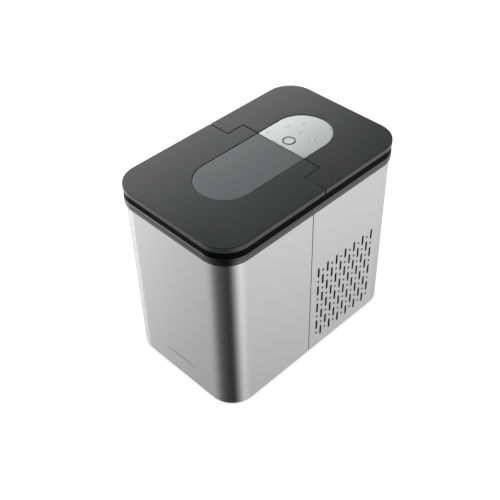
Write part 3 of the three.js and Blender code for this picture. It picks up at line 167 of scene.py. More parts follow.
# finishes
def moulded(name, colour, roughness, texture=900.0, relief=0.12, **more):
    # a moulded plastic: fine spark-eroded texture, and a slow drift in gloss and shade
    def varying(graph):
        fine = graph.noise(graph.stretched(1, 1, 1), texture, 2)
        slow = graph.noise(graph.stretched(1, 1, 1), 11, 2)
        dark = tuple(c * 0.9 for c in colour[:3]) + (1,)
        gloss = graph.spread(slow, roughness - 0.04, roughness + 0.04)
        return {
            "Base Color": graph.mixColours(slow, dark, colour),
            "Roughness": gloss + (fine - 0.5) * 0.05,
            "Normal": graph.bump(fine, relief, 0.03 * mm),
        }

    return finish(name, more, varying)


def brushedSteel(name, level=0.72):
    # grain runs level round the housing, so the sheen spreads up and down
    def varying(graph):
        fine = graph.noise(graph.stretched(5, 5, 2600), 1, 3)
        broad = graph.noise(graph.stretched(1.5, 1.5, 190), 1, 3)
        streak = fine * 0.65 + broad * 0.35
        return {
            "Base Color": graph.mixColours(streak, grey(level * 0.95), grey(level * 1.04)),
            "Roughness": graph.spread(streak, 0.2, 0.3),
            "Normal": graph.bump(fine, 0.02, 0.02 * mm),
        }

    constants = {"Metallic": 1.0, "Anisotropic": 0.8, "Anisotropic Rotation": 0.25}
    return finish(name, constants, varying)


def metal(name, colour, roughness, scratch=500.0):
    def varying(graph):
        fine = graph.noise(graph.stretched(1, 1, 1), scratch, 3)
        slow = graph.noise(graph.stretched(1, 1, 1), 24, 3)
        dull = tuple(c * 0.82 for c in colour[:3]) + (1,)
        return {
            "Base Color": graph.mixColours(slow, dull, colour),
            "Roughness": graph.spread(fine, roughness - 0.05, roughness + 0.07),
            "Normal": graph.bump(fine, 0.06, 0.02 * mm),
        }

    return finish(name, {"Metallic": 1.0}, varying)


def circuitLook(name):
    # tracks under green lacquer, with the lighter bare laminate between them
    def varying(graph):
        tracks = graph.make(
            "ShaderNodeTexBrick",
            {"Vector": graph.stretched(1, 1, 1), "Scale": 90.0, "Mortar Size": 0.06},
            output=1, offset=0.37, squash=1.6, squash_frequency=3,
        )
        return {
            "Base Color": graph.mixColours(tracks, (0.012, 0.09, 0.035, 1), (0.05, 0.2, 0.08, 1)),
            "Roughness": graph.spread(tracks, 0.32, 0.45),
            "Normal": graph.bump(tracks, 0.2, 0.04 * mm),
        }

    return finish(name, {}, varying)


def foamLook(name):
    def varying(graph):
        cells = graph.make("ShaderNodeTexVoronoi", {"Vector": graph.stretched(1, 1, 1), "Scale": 320.0})
        return {
            "Base Color": graph.mixColours(cells, grey(0.012), grey(0.03)),
            "Normal": graph.bump(cells, 0.5, 0.6 * mm),
        }

    return finish(name, {"Roughness": 0.9}, varying)


steel = brushedSteel("brushedSteel")
# the upright band under the lid: black plastic with painted shade for the lid's overhang, its colour
# darker than plain black moulding and its sheen nearly gone
blackBandPaintedShade = moulded("blackBandPaintedShade", grey(0.002), 0.5, **{"Specular IOR Level": 0.03})
lidSatin = moulded("lidSatin", (0.031, 0.033, 0.032, 1), 0.24, texture=2600, relief=0.12)
trimChrome = metal("trimChrome", (0.13, 0.132, 0.135, 1), 0.16)
smokedPanel = moulded("smokedPanel", (0.19, 0.195, 0.197, 1), 0.12, texture=120, relief=0.02,
                      **{"Alpha": 0.93})
silverPaint = moulded("silverPaint", (0.76, 0.77, 0.77, 1), 0.24, texture=3200, relief=0.06,
                      **{"Metallic": 0.8})
darkChrome = metal("darkChrome", (0.2, 0.205, 0.21, 1), 0.18)
zincPlate = metal("zincPlate", (0.6, 0.61, 0.62, 1), 0.26)
whiteGloss = moulded("whiteGloss", (0.84, 0.85, 0.85, 1), 0.22, texture=600, relief=0.04)
whiteMoulding = moulded("whiteMoulding", (0.72, 0.735, 0.74, 1), 0.38)
clearMoulding = moulded("clearMoulding", (0.66, 0.72, 0.74, 1), 0.16, texture=400, relief=0.05,
                        **{"Alpha": 0.6})
blackMoulding = moulded("blackMoulding", grey(0.014), 0.45)
softRubber = moulded("softRubber", grey(0.012), 0.75, texture=1400, relief=0.3)
jacketFoam = foamLook("jacketFoam")
copperTube = metal("copperTube", (0.78, 0.36, 0.2, 1), 0.28)
blackEnamel = moulded("blackEnamel", grey(0.01), 0.26, texture=420, relief=0.1)
rolledAluminium = metal("rolledAluminium", (0.72, 0.73, 0.74, 1), 0.32)
nickelPlate = metal("nickelPlate", (0.66, 0.64, 0.6, 1), 0.22)
boardLacquer = circuitLook("boardLacquer")
greyInk = moulded("greyInk", grey(0.42), 0.5)
milkyLens = moulded("milkyLens", grey(0.86), 0.25, texture=300, relief=0.03)
# by the slot of a CAD node, for the pieces that are refined from it
finishOf = {
    "steel": steel,
    "chrome": zincPlate,
    "white_plastic": whiteMoulding,
    "clear_plastic": clearMoulding,
    "black_plastic": blackMoulding,
    "rubber": softRubber,
    "foam": jacketFoam,
    "copper": copperTube,
    "black_iron": blackEnamel,
    "circuit_board": boardLacquer,
}
print("finishes made:", len(bpy.data.materials))


# mesh helpers
def build(name, verts, faces, *materials, marks=None):
    mesh = bpy.data.meshes.new(name)
    mesh.from_pydata([tuple(v) for v in verts], [], faces)
    for material in materials:
        mesh.materials.append(material)
    if marks:
        mesh.polygons.foreach_set("material_index", marks)
    piece = bpy.data.objects.new(name, mesh)
    bpy.context.scene.collection.objects.link(piece)
    return tidied(piece)


def tidied(piece):
    work = bmesh.new()
    work.from_mesh(piece.data)
    bmesh.ops.remove_doubles(work, verts=work.verts, dist=0.002 * mm)
    bmesh.ops.recalc_face_normals(work, faces=work.faces)
    work.to_mesh(piece.data)
    work.free()
    return piece


def baked(piece):
    # modifiers made final
    depsgraph = bpy.context.evaluated_depsgraph_get()
    done = bpy.data.meshes.new_from_object(piece.evaluated_get(depsgraph), depsgraph=depsgraph)
    piece.modifiers.clear()
    piece.data = done
    return piece


def softened(piece, angle=35.0, bevel=0.0):
    # small rounded edges, and shading that stays flat on flat faces
    if bevel:
        rounding = piece.modifiers.new("edges", "BEVEL")
        rounding.width, rounding.segments = bevel, 2
        rounding.limit_method, rounding.angle_limit = "ANGLE", math.radians(40)
        baked(piece)
    piece.data.shade_smooth()
    piece.data.set_sharp_from_angle(angle=math.radians(angle))
    weights = piece.modifiers.new("weights", "WEIGHTED_NORMAL")
    weights.keep_sharp = True
    return baked(piece)


def adopt(piece, *stoodFor):
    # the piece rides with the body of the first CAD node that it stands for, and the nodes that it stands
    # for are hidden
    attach(piece, bodyOf[stoodFor[0]])
    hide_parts(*stoodFor)
    madeFor.update(stoodFor)
    return piece


def joined(name, *parts):
    # several meshes of one piece, as separate shells of one object
    work = bmesh.new()
    materials = []
    for part in parts:
        start = len(work.faces)
        work.from_mesh(part.data)
        work.faces.ensure_lookup_table()
        for face in work.faces[start:]:
            material = part.data.materials[face.material_index]
            if material not in materials:
                materials.append(material)
            face.material_index = materials.index(material)
        bpy.data.objects.remove(part)
    mesh = bpy.data.meshes.new(name)
    work.to_mesh(mesh)
    work.free()
    for material in materials:
        mesh.materials.append(material)
    piece = bpy.data.objects.new(name, mesh)
    bpy.context.scene.collection.objects.link(piece)
    return piece


def cutBy(piece, *cutters):
    for cutter in cutters:
        difference = piece.modifiers.new("cut", "BOOLEAN")
        difference.operation, difference.solver, difference.object = "DIFFERENCE", "EXACT", cutter
        baked(piece)
        bpy.data.objects.remove(cutter)
    return piece


def loft(name, rings, *materials, closed=False, marks=None):
    # rings of equal point counts, joined in turn; a closed loft runs back to its first ring
    count = len(rings[0])
    verts = [p for ring in rings for p in ring]
    spans = len(rings) if closed else len(rings) - 1
    faces, index = [], []
    for k in range(spans):
        a, b = k * count, ((k + 1) % len(rings)) * count
        for i in range(count):
            j = (i + 1) % count
            faces.append((a + i, a + j, b + j, b + i))
            index.append(marks[k] if marks else 0)
    if not closed:
        faces += [tuple(range(count))[::-1], tuple(range(len(verts) - count, len(verts)))]
        index += [0, 0]
    return build(name, verts, faces, *materials, marks=index)


def arc(centreX, centreY, radius, start, end, steps):
    turn = [math.radians(start + (end - start) * i / steps) for i in range(steps + 1)]
    return [(centreX + radius * math.cos(a), centreY + radius * math.sin(a)) for a in turn]


def roundedBox(x0, x1, y0, y1, radius):
    # a rectangle with round corners, anticlockwise
    steps = 14
    points = arc(x1 - radius, y1 - radius, radius, 0, 90, steps)
    points += arc(x0 + radius, y1 - radius, radius, 90, 180, steps)
    points += arc(x0 + radius, y0 + radius, radius, 180, 270, steps)
    return points + arc(x1 - radius, y0 + radius, radius, 270, 360, steps)


def moved(points, distance):
    # an outline grown by a distance, or shrunk by a negative one, with square corners kept
    found = []
    for i, (x, y) in enumerate(points):
        (ax, ay), (bx, by) = points[i - 1], points[(i + 1) % len(points)]
        first = Vector((y - ay, ax - x)).normalized()
        second = Vector((by - y, x - bx)).normalized()
        middle = (first + second).normalized()
        reach = distance / max(middle.dot(first), 0.3)
        found.append((x + middle.x * reach, y + middle.y * reach))
    return found


def levels(z0, z1, bottom, top):
    # heights and insets of a plate's side, with quarter rounds at its bottom and top edges
    turn = [math.pi / 2 * i / 5 for i in range(6)]
    found = [(z0 + bottom * (1 - math.cos(a)), -bottom * (1 - math.sin(a))) for a in turn]
    return found + [(z1 - top * (1 - math.sin(a)), -top * (1 - math.cos(a))) for a in turn]


def plate(name, outline, z0, z1, material, top, bottom=softEdge):
    rings = [[(x, y, z) for x, y in moved(outline, grow)] for z, grow in levels(z0, z1, bottom, top)]
    return loft(name, rings, material)


def lathe(name, profile, material, place=(0, 0, 0), axis="z", segments=48):
    # a turned piece; the profile is (radius, height) pairs and runs along the axis
    rings = []
    for radius, height in profile:
        ring = []
        for i in range(segments):
            a = 2 * math.pi * i / segments
            ring.append((radius * math.cos(a), radius * math.sin(a), height))
        rings.append(ring)
    closed = profile[0] == profile[-1]
    piece = loft(name, rings[:-1] if closed else rings, material, closed=closed)
    turn = {"z": Matrix(), "x": Matrix.Rotation(math.pi / 2, 4, "Y"),
            "y": Matrix.Rotation(-math.pi / 2, 4, "X"), "-x": Matrix.Rotation(-math.pi / 2, 4, "Y")}
    piece.data.transform(Matrix.Translation(place) @ turn[axis])
    return tidied(piece)


def disc(name, radius, x, y, z0, z1, material):
    profile = [(0, z0), (radius, z0), (radius, z1), (0, z1)]
    return lathe(name, profile, material, (x, y, 0))


def centreOf(node):
    low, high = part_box(node)
    return (low + high) / 2


def refined(node, bevel=softEdge, rounds=0, material=None):
    # a finer copy of a CAD node: merged, its flat faces whole again, its edges softly rounded
    piece = bpy.data.objects.new(node + "_fine", nodes[node].data.copy())
    bpy.context.scene.collection.objects.link(piece)
    work = bmesh.new()
    work.from_mesh(piece.data)
    bmesh.ops.remove_doubles(work, verts=work.verts, dist=0.005 * mm)
    bmesh.ops.dissolve_limit(work, angle_limit=math.radians(0.5), verts=work.verts, edges=work.edges)
    work.to_mesh(piece.data)
    work.free()
    piece.data.materials.clear()
    piece.data.materials.append(material or finishOf[slotOf[node]])
    if rounds:
        smooth = piece.modifiers.new("rounds", "SUBSURF")
        smooth.levels = smooth.render_levels = rounds
        baked(piece)
    return adopt(softened(piece, 40, bevel), node)


# geometry trees
socketKinds = {"Int": "NodeSocketInt", "Float": "NodeSocketFloat", "Vector": "NodeSocketVector"}


def newTree(name, inputs):
    # a geometry tree with named inputs; returns its graph and the wires of its inputs
    tree = bpy.data.node_groups.new(name, "GeometryNodeTree")
    tree.is_modifier = True
    tree.interface.new_socket("Geometry", in_out="INPUT", socket_type="NodeSocketGeometry")
    for label, kind in inputs.items():
        tree.interface.new_socket(label, in_out="INPUT", socket_type=socketKinds[kind])
    tree.interface.new_socket("Geometry", in_out="OUTPUT", socket_type="NodeSocketGeometry")
    graph = Graph(tree)
    start = graph.make("NodeGroupInput")
    return graph, {label: start.other(label) for label in ["Geometry", *inputs]}


def endTree(graph, geometry, material):
    real = graph.make("GeometryNodeRealizeInstances", {"Geometry": geometry})
    dressed = graph.make("GeometryNodeSetMaterial", {"Geometry": real, "Material": material})
    graph.make("NodeGroupOutput", {"Geometry": dressed})


def grown(piece, graph, values):
    # the tree run on a piece, with its inputs set by identifier, and made plain mesh
    modifier = piece.modifiers.new(graph.tree.name, "NODES")
    modifier.node_group = graph.tree
    for item in graph.tree.interface.items_tree:
        if item.name in values:
            modifier[item.identifier] = values[item.name]
    return baked(piece)


def seed(name):
    return build(name, [], [])


# housing
bodyLow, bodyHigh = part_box("front_shell")[0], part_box("rear_shell")[1]
housingLook = {
    "cornerRadius": 38 * mm,
    "sheet": 1 * mm,
    "edge": 0.3 * mm,
    "cornerSteps": 20,
    "columns": 13,
    "rows": 4,
    "pitch": 9.5 * mm,
    "rowPeriod": 34.9 * mm,
    "slotWidth": 4 * mm,
    "slotLength": 18.4 * mm,
    "dotDrop": 26.5 * mm,
    "firstColumn": 15.5 * mm,  # behind the seam
    "lowestSlot": 18.5 * mm,  # above the shell's bottom edge
    "glandHole": 7 * mm,
}


def bodyOutline(grow):
    radius = housingLook["cornerRadius"] + grow
    return roundedBox(bodyLow.x - grow, bodyHigh.x + grow, bodyLow.y - grow, bodyHigh.y + grow, radius)


def shellSheet(name, seamY, towards):
    # a thin U of steel from one seam edge round the end to the other
    look = housingLook
    radius, steps, t, e = look["cornerRadius"], look["cornerSteps"], look["sheet"], look["edge"]
    endY = bodyLow.y if towards < 0 else bodyHigh.y
    corner = endY - towards * radius
    stations = [(bodyHigh.x, seamY, 0), (bodyHigh.x, seamY + towards * e, 0)]
    for side, start in ((1, 0), (-1, 90)):
        centreX = bodyHigh.x - radius if side > 0 else bodyLow.x + radius
        for i in range(steps + 1):
            a = start + 90 * i / steps
            x = centreX + radius * math.cos(math.radians(a))
            stations.append((x, corner + towards * radius * math.sin(math.radians(a)), a))
    stations += [(bodyLow.x, seamY + towards * e, 180), (bodyLow.x, seamY, 180)]
    z0, z1 = bodyLow.z, bodyHigh.z
    section = [(0, z0 + e), (0, z1 - 2 * e), (0.15 * e, z1 - 1.2 * e), (e, z1 - 0.3 * e), (2 * e, z1),
               (t, z1), (t, z0 + e), (t - e, z0), (e, z0), (e / 3, z0 + e / 3)]
    rings = []
    for k, (x, y, a) in enumerate(stations):
        end = k in (0, len(stations) - 1)
        nx, ny = math.cos(math.radians(a)), towards * math.sin(math.radians(a))
        ring = []
        for inward, z in section:
            depth = t / 2 + (inward - t / 2) * (0.5 if end else 1)
            ring.append((x - nx * depth, y - ny * depth, z))
        rings.append(ring)
    return loft(name, rings, steel)


def ventTree():
    # round-ended slots and dots, staggered column by column, cut through both side walls at once
    graph, wire = newTree("vents", {
        "Columns": "Int", "Rows": "Int", "Pitch": "Float", "Row Period": "Float",
        "Slot Width": "Float", "Slot Length": "Float", "Dot Drop": "Float", "First": "Vector",
        "Reach": "Float", "Gland Place": "Vector", "Gland Radius": "Float",
    })
    index = graph.make("GeometryNodeInputIndex")
    column = (index / wire["Rows"]).floor()
    row = index % wire["Rows"]
    stagger = (column % 2) * 0.5
    count = wire["Columns"] * wire["Rows"]
    first = graph.make("ShaderNodeSeparateXYZ", {0: wire["First"]})
    y = first.other("Y") + column * wire["Pitch"]
    slotZ = first.other("Z") - (row + stagger) * wire["Row Period"] - wire["Slot Length"] * 0.5
    dotZ = first.other("Z") - wire["Dot Drop"] - (row - stagger) * wire["Row Period"]
    across = graph.vector(X=wire["Reach"])
    back = graph.make("ShaderNodeVectorMath", {0: across, "Scale": -1.0}, operation="SCALE")
    path = graph.make("GeometryNodeCurvePrimitiveLine", {"Start": back, "End": across})
    slot = graph.make("GeometryNodeCurvePrimitiveQuadrilateral",
                      {"Width": wire["Slot Width"], "Height": wire["Slot Length"]})
    slotEnds = graph.make("GeometryNodeFilletCurve",
                          {"Curve": slot, "Count": 5, "Radius": wire["Slot Width"] * 0.499},
                          mode="POLY")
    dot = graph.make("GeometryNodeCurvePrimitiveCircle",
                     {"Resolution": 20, "Radius": wire["Slot Width"] * 0.5})
    cutters = []
    for outline, z in ((slotEnds, slotZ), (dot, dotZ)):
        prism = graph.make("GeometryNodeCurveToMesh",
                           {"Curve": path, "Profile Curve": outline, "Fill Caps": True})
        place = graph.vector(Y=y, Z=z)
        points = graph.make("GeometryNodePoints", {"Count": count, "Position": place})
        cutters.append(graph.make("GeometryNodeInstanceOnPoints",
                                  {"Points": points, "Instance": prism}))
    bore = graph.make("GeometryNodeMeshCylinder",
                      {"Vertices": 32, "Radius": wire["Gland Radius"], "Depth": 20 * mm})
    cutters.append(graph.make("GeometryNodeTransform", {
        "Geometry": bore, "Translation": wire["Gland Place"], "Rotation": (math.pi / 2, 0, 0)}))
    together = graph.make("GeometryNodeJoinGeometry", {"Geometry": cutters})
    real = graph.make("GeometryNodeRealizeInstances", {"Geometry": together})
    holed = graph.make("GeometryNodeMeshBoolean",
                       {"Mesh 1": wire["Geometry"], "Mesh 2": real},
                       operation="DIFFERENCE", solver="EXACT")
    endTree(graph, holed, steel)
    return graph


def steelShells():
    look = housingLook
    front = shellSheet("front_shell_fine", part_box("front_shell")[1].y, -1)
    adopt(softened(front), "front_shell")
    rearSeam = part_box("rear_shell")[0].y
    rear = shellSheet("rear_shell_fine", rearSeam, 1)
    seam = (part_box("front_shell")[1].y + rearSeam) / 2
    top = bodyLow.z + look["lowestSlot"] + (look["rows"] - 0.5) * look["rowPeriod"]
    grown(rear, ventTree(), {
        "Columns": look["columns"], "Rows": look["rows"], "Pitch": look["pitch"],
        "Row Period": look["rowPeriod"], "Slot Width": look["slotWidth"],
        "Slot Length": look["slotLength"], "Dot Drop": look["dotDrop"],
        "First": (0, seam + look["firstColumn"], top + look["slotLength"]),
        "Reach": bodyHigh.x + 10 * mm, "Gland Place": centreOf("cord_gland"),
        "Gland Radius": look["glandHole"],
    })
    adopt(softened(rear), "rear_shell")


steelShells()
print("steel shells made")

# collar
collarLook = {
    "overhang": 2.5 * mm,
    "curve": 11.5 * mm,
    "swell": 0.06,  # how much the face gains on its way up, in shares of the overhang
    "tuck": 0.16,  # and how much its foot is drawn in
    "curveSteps": 12,
    "grooveStep": 8,
    "wall": 4 * mm,
    "shadowGap": 0.2 * mm,
    "groove": 0.45 * mm,
    "bandStep": 0.5 * mm,
    "rimRound": 0.8 * mm,
    "deckDrop": 9.5 * mm,
    "deckThick": 3 * mm,
    "mouthInset": 7.5 * mm,  # inside the liner at the front and sides
    "mouthRear": 2.5 * mm,
    "mouthRadius": 14 * mm,
    "mouthTop": 0.6 * mm,
    "mouthUnder": 0.4 * mm,
    "skirtInside": 3.6 * mm,  # both from the housing's outer face
    "skirtOutside": 1.6 * mm,
}


def collar():
    # one closed section carried round: swelling face, upright band, rim, deck, mouth and skirt
    look = collarLook
    low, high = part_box("top_collar")
    linerLow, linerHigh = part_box("inner_liner")
    over, rim, steps = look["overhang"], look["rimRound"], look["curveSteps"]
    band, inside = over - look["groove"], -look["wall"]
    foot = bodyHigh.z + fit + look["shadowGap"]
    shoulder = bodyHigh.z + look["curve"]
    deckTop = high.z - look["deckDrop"]
    deckLow = deckTop - look["deckThick"]
    rings, marks = [], []

    def add(outline, z, mark):
        rings.append([(x, y, z) for x, y in outline])
        marks.append(mark)

    for i in range(steps + 1):
        cut = look["groove"] if i == look["grooveStep"] else 0
        tuck = look["tuck"] if i == 0 else 0
        share = 1 - look["swell"] * (1 - math.sin(math.pi / 2 * i / steps)) - tuck
        add(bodyOutline(over * share - cut), foot + (shoulder - foot) * i / steps, 0)
    side = [(band, shoulder + look["bandStep"]), (band, high.z - rim)]
    for i in range(1, 4):
        a = math.pi / 2 * i / 3
        side.append((band - rim * (1 - math.cos(a)), high.z - rim * (1 - math.sin(a))))
    side += [(inside + rim, high.z), (inside, high.z - rim), (inside, deckTop)]
    for grow, z in side:
        add(bodyOutline(grow), z, 1)
    inset = look["mouthInset"]
    mouth = roundedBox(linerLow.x + inset, linerHigh.x - inset, linerLow.y + inset,
                       linerHigh.y - look["mouthRear"], look["mouthRadius"])
    top, under = look["mouthTop"], look["mouthUnder"]
    for grow, z in ((top, deckTop), (0, deckTop - top), (0, deckLow + under), (under, deckLow)):
        add(moved(mouth, grow), z, 1)
    inner, outer = -look["skirtInside"], -look["skirtOutside"]
    for grow, z in ((inner, deckLow), (inner, low.z), (outer, low.z), (outer, foot)):
        add(bodyOutline(grow), z, 0)
    # mark 1, the band, rim, deck and mouth, takes the black plastic with painted shade
    piece = loft("top_collar_fine", rings, trimChrome, blackBandPaintedShade, closed=True, marks=marks)
    adopt(softened(piece, 40), "top_collar")


collar()
print("collar made")

# lid and rear cover
lidLook = {
    "edgeTop": 1.2 * mm,
    "edgeBottom": 0.5 * mm,
    "lip": 0.9 * mm,  # chamfer round the window and fascia openings
    "tongueHalf": 72 * mm,
    "gap": 0.6 * mm,
    "ovalRadius": 43.5 * mm,
    "ovalFront": 60 * mm,  # from the housing's front face
    "ovalBack": 43.5 * mm,  # from its back face
    "panelEdge": 1.1 * mm,
    "tongueRound": 1.9 * mm,
    "ledge": 3.5 * mm,
    "wingCorner": 1.6 * mm,
    "buttonGap": 0.4 * mm,
    "skirt": {"wall": 3 * mm, "radius": 36 * mm, "edge": 0.4 * mm, "setBack": 8 * mm},
}
lidLow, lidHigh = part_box("lid_frame")
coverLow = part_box("rear_top_cover")[0]
panelLow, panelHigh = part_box("lid_window")
fasciaLow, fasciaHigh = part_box("control_fascia")
hingeY, hingeZ = lidHigh.y - (lidHigh.z - lidLow.z) / 2, (lidHigh.z + lidLow.z) / 2


def ovalOutline(shrink, from_=None, upTo=None):
    # the long oval that window and fascia share, whole or cut square at one end
    look, steps = lidLook, 32
    radius = look["ovalRadius"] - shrink
    y0 = bodyLow.y + look["ovalFront"] + look["ovalRadius"]
    y1 = bodyHigh.y - look["ovalBack"] - look["ovalRadius"]
    rearEnd = arc(0, y1, radius, 0, 180, steps) if upTo is None else [(radius, upTo), (-radius, upTo)]
    frontEnd = arc(0, y0, radius, 180, 360, steps)
    if from_ is not None:
        frontEnd = [(-radius, from_), (radius, from_)]
    return rearEnd + frontEnd


def lidOutline(stepY, rearY):
    # the lid's plan: round front corners, wings to the step, tongue to the hinge
    half, grow = lidLook["tongueHalf"], collarLook["overhang"]
    radius = housingLook["cornerRadius"] + grow
    x, y = bodyHigh.x + grow, bodyLow.y - grow
    front = arc(-x + radius, y + radius, radius, 180, 270, 20)
    front += arc(x - radius, y + radius, radius, 270, 360, 20)
    corner = lidLook["wingCorner"]
    rear = arc(x - corner, stepY - corner, corner, 0, 90, 3)
    rear += [(half, stepY), (half, rearY), (-half, rearY), (-half, stepY)]
    return front + rear + arc(-x + corner, stepY - corner, corner, 90, 180, 3)


def ovalCutter(shrink, z0, z1, lip, **ends):
    # flares by the lip at z1, and goes on above it
    past, clear = 0.3 * mm, 5 * mm
    rings = [(z0, 0), (z1 - lip, 0), (z1 + past, lip + past), (z1 + clear, lip + past)]
    outline = ovalOutline(shrink, **ends)
    return loft("cutter", [[(x, y, z) for x, y in moved(outline, g)] for z, g in rings], lidSatin)


def tongueEnd(z):
    # how far back the tongue reaches at a height: a half barrel below, a tight round above
    thick, tight = (lidHigh.z - lidLow.z) / 2, lidLook["tongueRound"]
    if z < hingeZ:
        return hingeY + math.sqrt(thick**2 - (z - hingeZ) ** 2)
    above = max(0, z - lidHigh.z + tight)
    return hingeY + thick - tight + math.sqrt(max(0, tight**2 - above**2))


def lidFrame():
    look = lidLook
    stepY = coverLow.y - look["gap"]
    thick, tight = (lidHigh.z - lidLow.z) / 2, look["tongueRound"]
    side = levels(lidLow.z, lidHigh.z, look["edgeBottom"], look["edgeTop"])
    turns = [math.radians(a) for a in range(0, 76, 15)]
    heights = sorted({z for z, _ in side} | {hingeZ - thick * math.sin(a) for a in turns}
                     | {lidHigh.z - tight * (1 - math.sin(a)) for a in turns})
    rings = []
    for z in heights:
        below, above = z - lidLow.z, lidHigh.z - z
        grow = 0.0
        if below < look["edgeBottom"]:
            grow = -look["edgeBottom"] + math.sqrt(max(0, 2 * look["edgeBottom"] * below - below**2))
        if above < look["edgeTop"]:
            grow = -look["edgeTop"] + math.sqrt(max(0, 2 * look["edgeTop"] * above - above**2))
        outline = moved(lidOutline(stepY, hingeY + thick), grow)
        rings.append([(x, min(y, tongueEnd(z)), z) for x, y in outline])
    body = loft("lid_frame_fine", rings, lidSatin)
    pocket = ovalCutter(0, panelLow.z - fit, lidHigh.z, look["lip"], upTo=hingeY + 2 * thick)
    well = ovalCutter(look["ledge"], lidLow.z - mm, lidHigh.z, 0.0, upTo=hingeY - thick)
    cutBy(body, pocket, well)
    adopt(softened(body), "lid_frame")


def lidWindow():
    outline = ovalOutline(fit, upTo=tongueEnd(hingeZ))
    piece = plate("lid_window_fine", outline, panelLow.z, panelHigh.z, smokedPanel,
                  top=lidLook["panelEdge"])
    for v in piece.data.vertices:
        v.co.y = min(v.co.y, tongueEnd(v.co.z) - 0.2 * mm)
    adopt(softened(piece, 50), "lid_window")


def skirtWall(half, frontY, backY, z0, z1):
    # a U-shaped wall under the cover, inside the collar
    wall, radius, edge = (lidLook["skirt"][k] for k in ("wall", "radius", "edge"))
    outer = [(half, frontY)] + arc(half - radius, backY - radius, radius, 0, 90, 16)
    outer += arc(-half + radius, backY - radius, radius, 90, 180, 16) + [(-half, frontY)]
    rings = []
    for x, y in outer:
        centre = Vector((math.copysign(half - radius, x), min(y, backY - radius)))
        inward = (centre - Vector((x, y))).normalized()
        section = [(0, z0 + edge), (edge, z0), (wall - edge, z0), (wall, z0 + edge), (wall, z1), (0, z1)]
        rings.append([(x + inward.x * d, y + inward.y * d, z) for d, z in section])
    return loft("skirt", rings, lidSatin)


def rearCover():
    look = lidLook
    grow = collarLook["overhang"]
    radius = housingLook["cornerRadius"] + grow
    x, y = bodyHigh.x + grow, bodyHigh.y + grow
    notch = look["tongueHalf"] + look["gap"]
    frontY = fasciaLow.y - fit
    corner = look["wingCorner"]
    outline = arc(x - radius, y - radius, radius, 0, 90, 20)
    outline += arc(-x + radius, y - radius, radius, 90, 180, 20)
    outline += arc(-x + corner, coverLow.y + corner, corner, 180, 270, 3)
    outline += [(-notch, coverLow.y), (-notch, frontY), (notch, frontY), (notch, coverLow.y)]
    outline += arc(x - corner, coverLow.y + corner, corner, 270, 360, 3)
    body = plate("rear_top_cover_fine", outline, lidLow.z, lidHigh.z, lidSatin,
                 bottom=look["edgeBottom"], top=look["edgeTop"])
    floor = fasciaLow.z - fit
    cutters = [ovalCutter(0, floor, lidHigh.z, look["lip"], from_=frontY - 5 * mm)]
    for node in ("power_button", "select_button"):
        place = centreOf(node)
        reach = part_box(node)[1].x - place.x + look["buttonGap"]
        cutters.append(disc("cutter", reach, place.x, place.y, lidLow.z - mm, floor + mm, lidSatin))
    cutBy(body, *cutters)
    skirtX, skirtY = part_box("lid_inner_frame")[1].x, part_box("lid_inner_frame")[0].y
    skirt = skirtWall(skirtX, frontY + look["skirt"]["setBack"], -skirtY, coverLow.z, lidLow.z - 0.05 * mm)
    piece = joined("rear_top_cover_fine", softened(body), softened(skirt))
    adopt(piece, "rear_top_cover")


lidFrame()
lidWindow()
rearCover()
print("lid and rear cover made")

# controls
controlLook = {
    "seat": 1.2 * mm,
    "ringRadius": 9.5 * mm,
    "ringWidth": 1.7 * mm,
    "ringRound": 0.5 * mm,
    "gap": 0.4 * mm,
    "selectLap": 1.1 * mm,  # by which the flange of the small button passes its hole
    "lensHole": 2.1 * mm,
    "capEdge": 0.6 * mm,
    "stemIn": 2.5 * mm,
    "flangeTop": 3.7 * mm,  # below the cap's top
    "flangeThick": 1.5 * mm,
    "powerRadius": 7.4 * mm,
    "powerDish": 0.25 * mm,
    "selectRadius": 4 * mm,
    "selectDish": 0.15 * mm,
    "inkThick": 0.04 * mm,
    "symbolRadius": 3 * mm,
    "symbolLine": 0.6 * mm,
    "markLine": 0.35 * mm,
    "markAway": 5.5 * mm,  # from its lens
}


def fascia():
    look = controlLook
    outline = ovalOutline(fit, from_=fasciaLow.y)
    panel = plate("control_fascia_fine", outline, fasciaLow.z, fasciaHigh.z, silverPaint,
                  top=lidLook["panelEdge"])
    ring, power, select = centreOf("power_ring"), centreOf("power_button"), centreOf("select_button")
    top, below = fasciaHigh.z + mm, fasciaLow.z - mm
    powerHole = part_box("power_ring")[1].x - look["ringWidth"]
    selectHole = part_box("select_button")[1].x - select.x - look["selectLap"]
    seat = fasciaHigh.z - look["seat"]
    holes = [(look["ringRadius"] + look["gap"], ring.x, ring.y, seat),
             (powerHole, power.x, power.y, below), (selectHole, select.x, select.y, below)]
    holes += [(look["lensHole"], x, y, below) for x, y in lensPlaces()]
    cutBy(panel, *(disc("cutter", r, x, y, z, top, silverPaint) for r, x, y, z in holes))
    adopt(softened(panel), "control_fascia")


def lensPlaces():
    # the light pipe's lenses: the places where its mesh reaches the fascia's face
    data = nodes["indicator_light_pipe"].data
    top = max(v.co.z for v in data.vertices)
    within, apart = 0.2 * mm, 4 * mm
    found = []
    for v in data.vertices:
        if v.co.z < top - within:
            continue
        near = [p for p in found if math.dist(p[0], (v.co.x, v.co.y)) < apart]
        if near:
            near[0][1].append((v.co.x, v.co.y))
        else:
            found.append(((v.co.x, v.co.y), [(v.co.x, v.co.y)]))
    places = []
    for _, members in found:
        unique = sorted(set((round(x, 6), round(y, 6)) for x, y in members))
        xs, ys = [p[0] for p in unique], [p[1] for p in unique]
        places.append(((min(xs) + max(xs)) / 2, (min(ys) + max(ys)) / 2))
    return sorted(places)


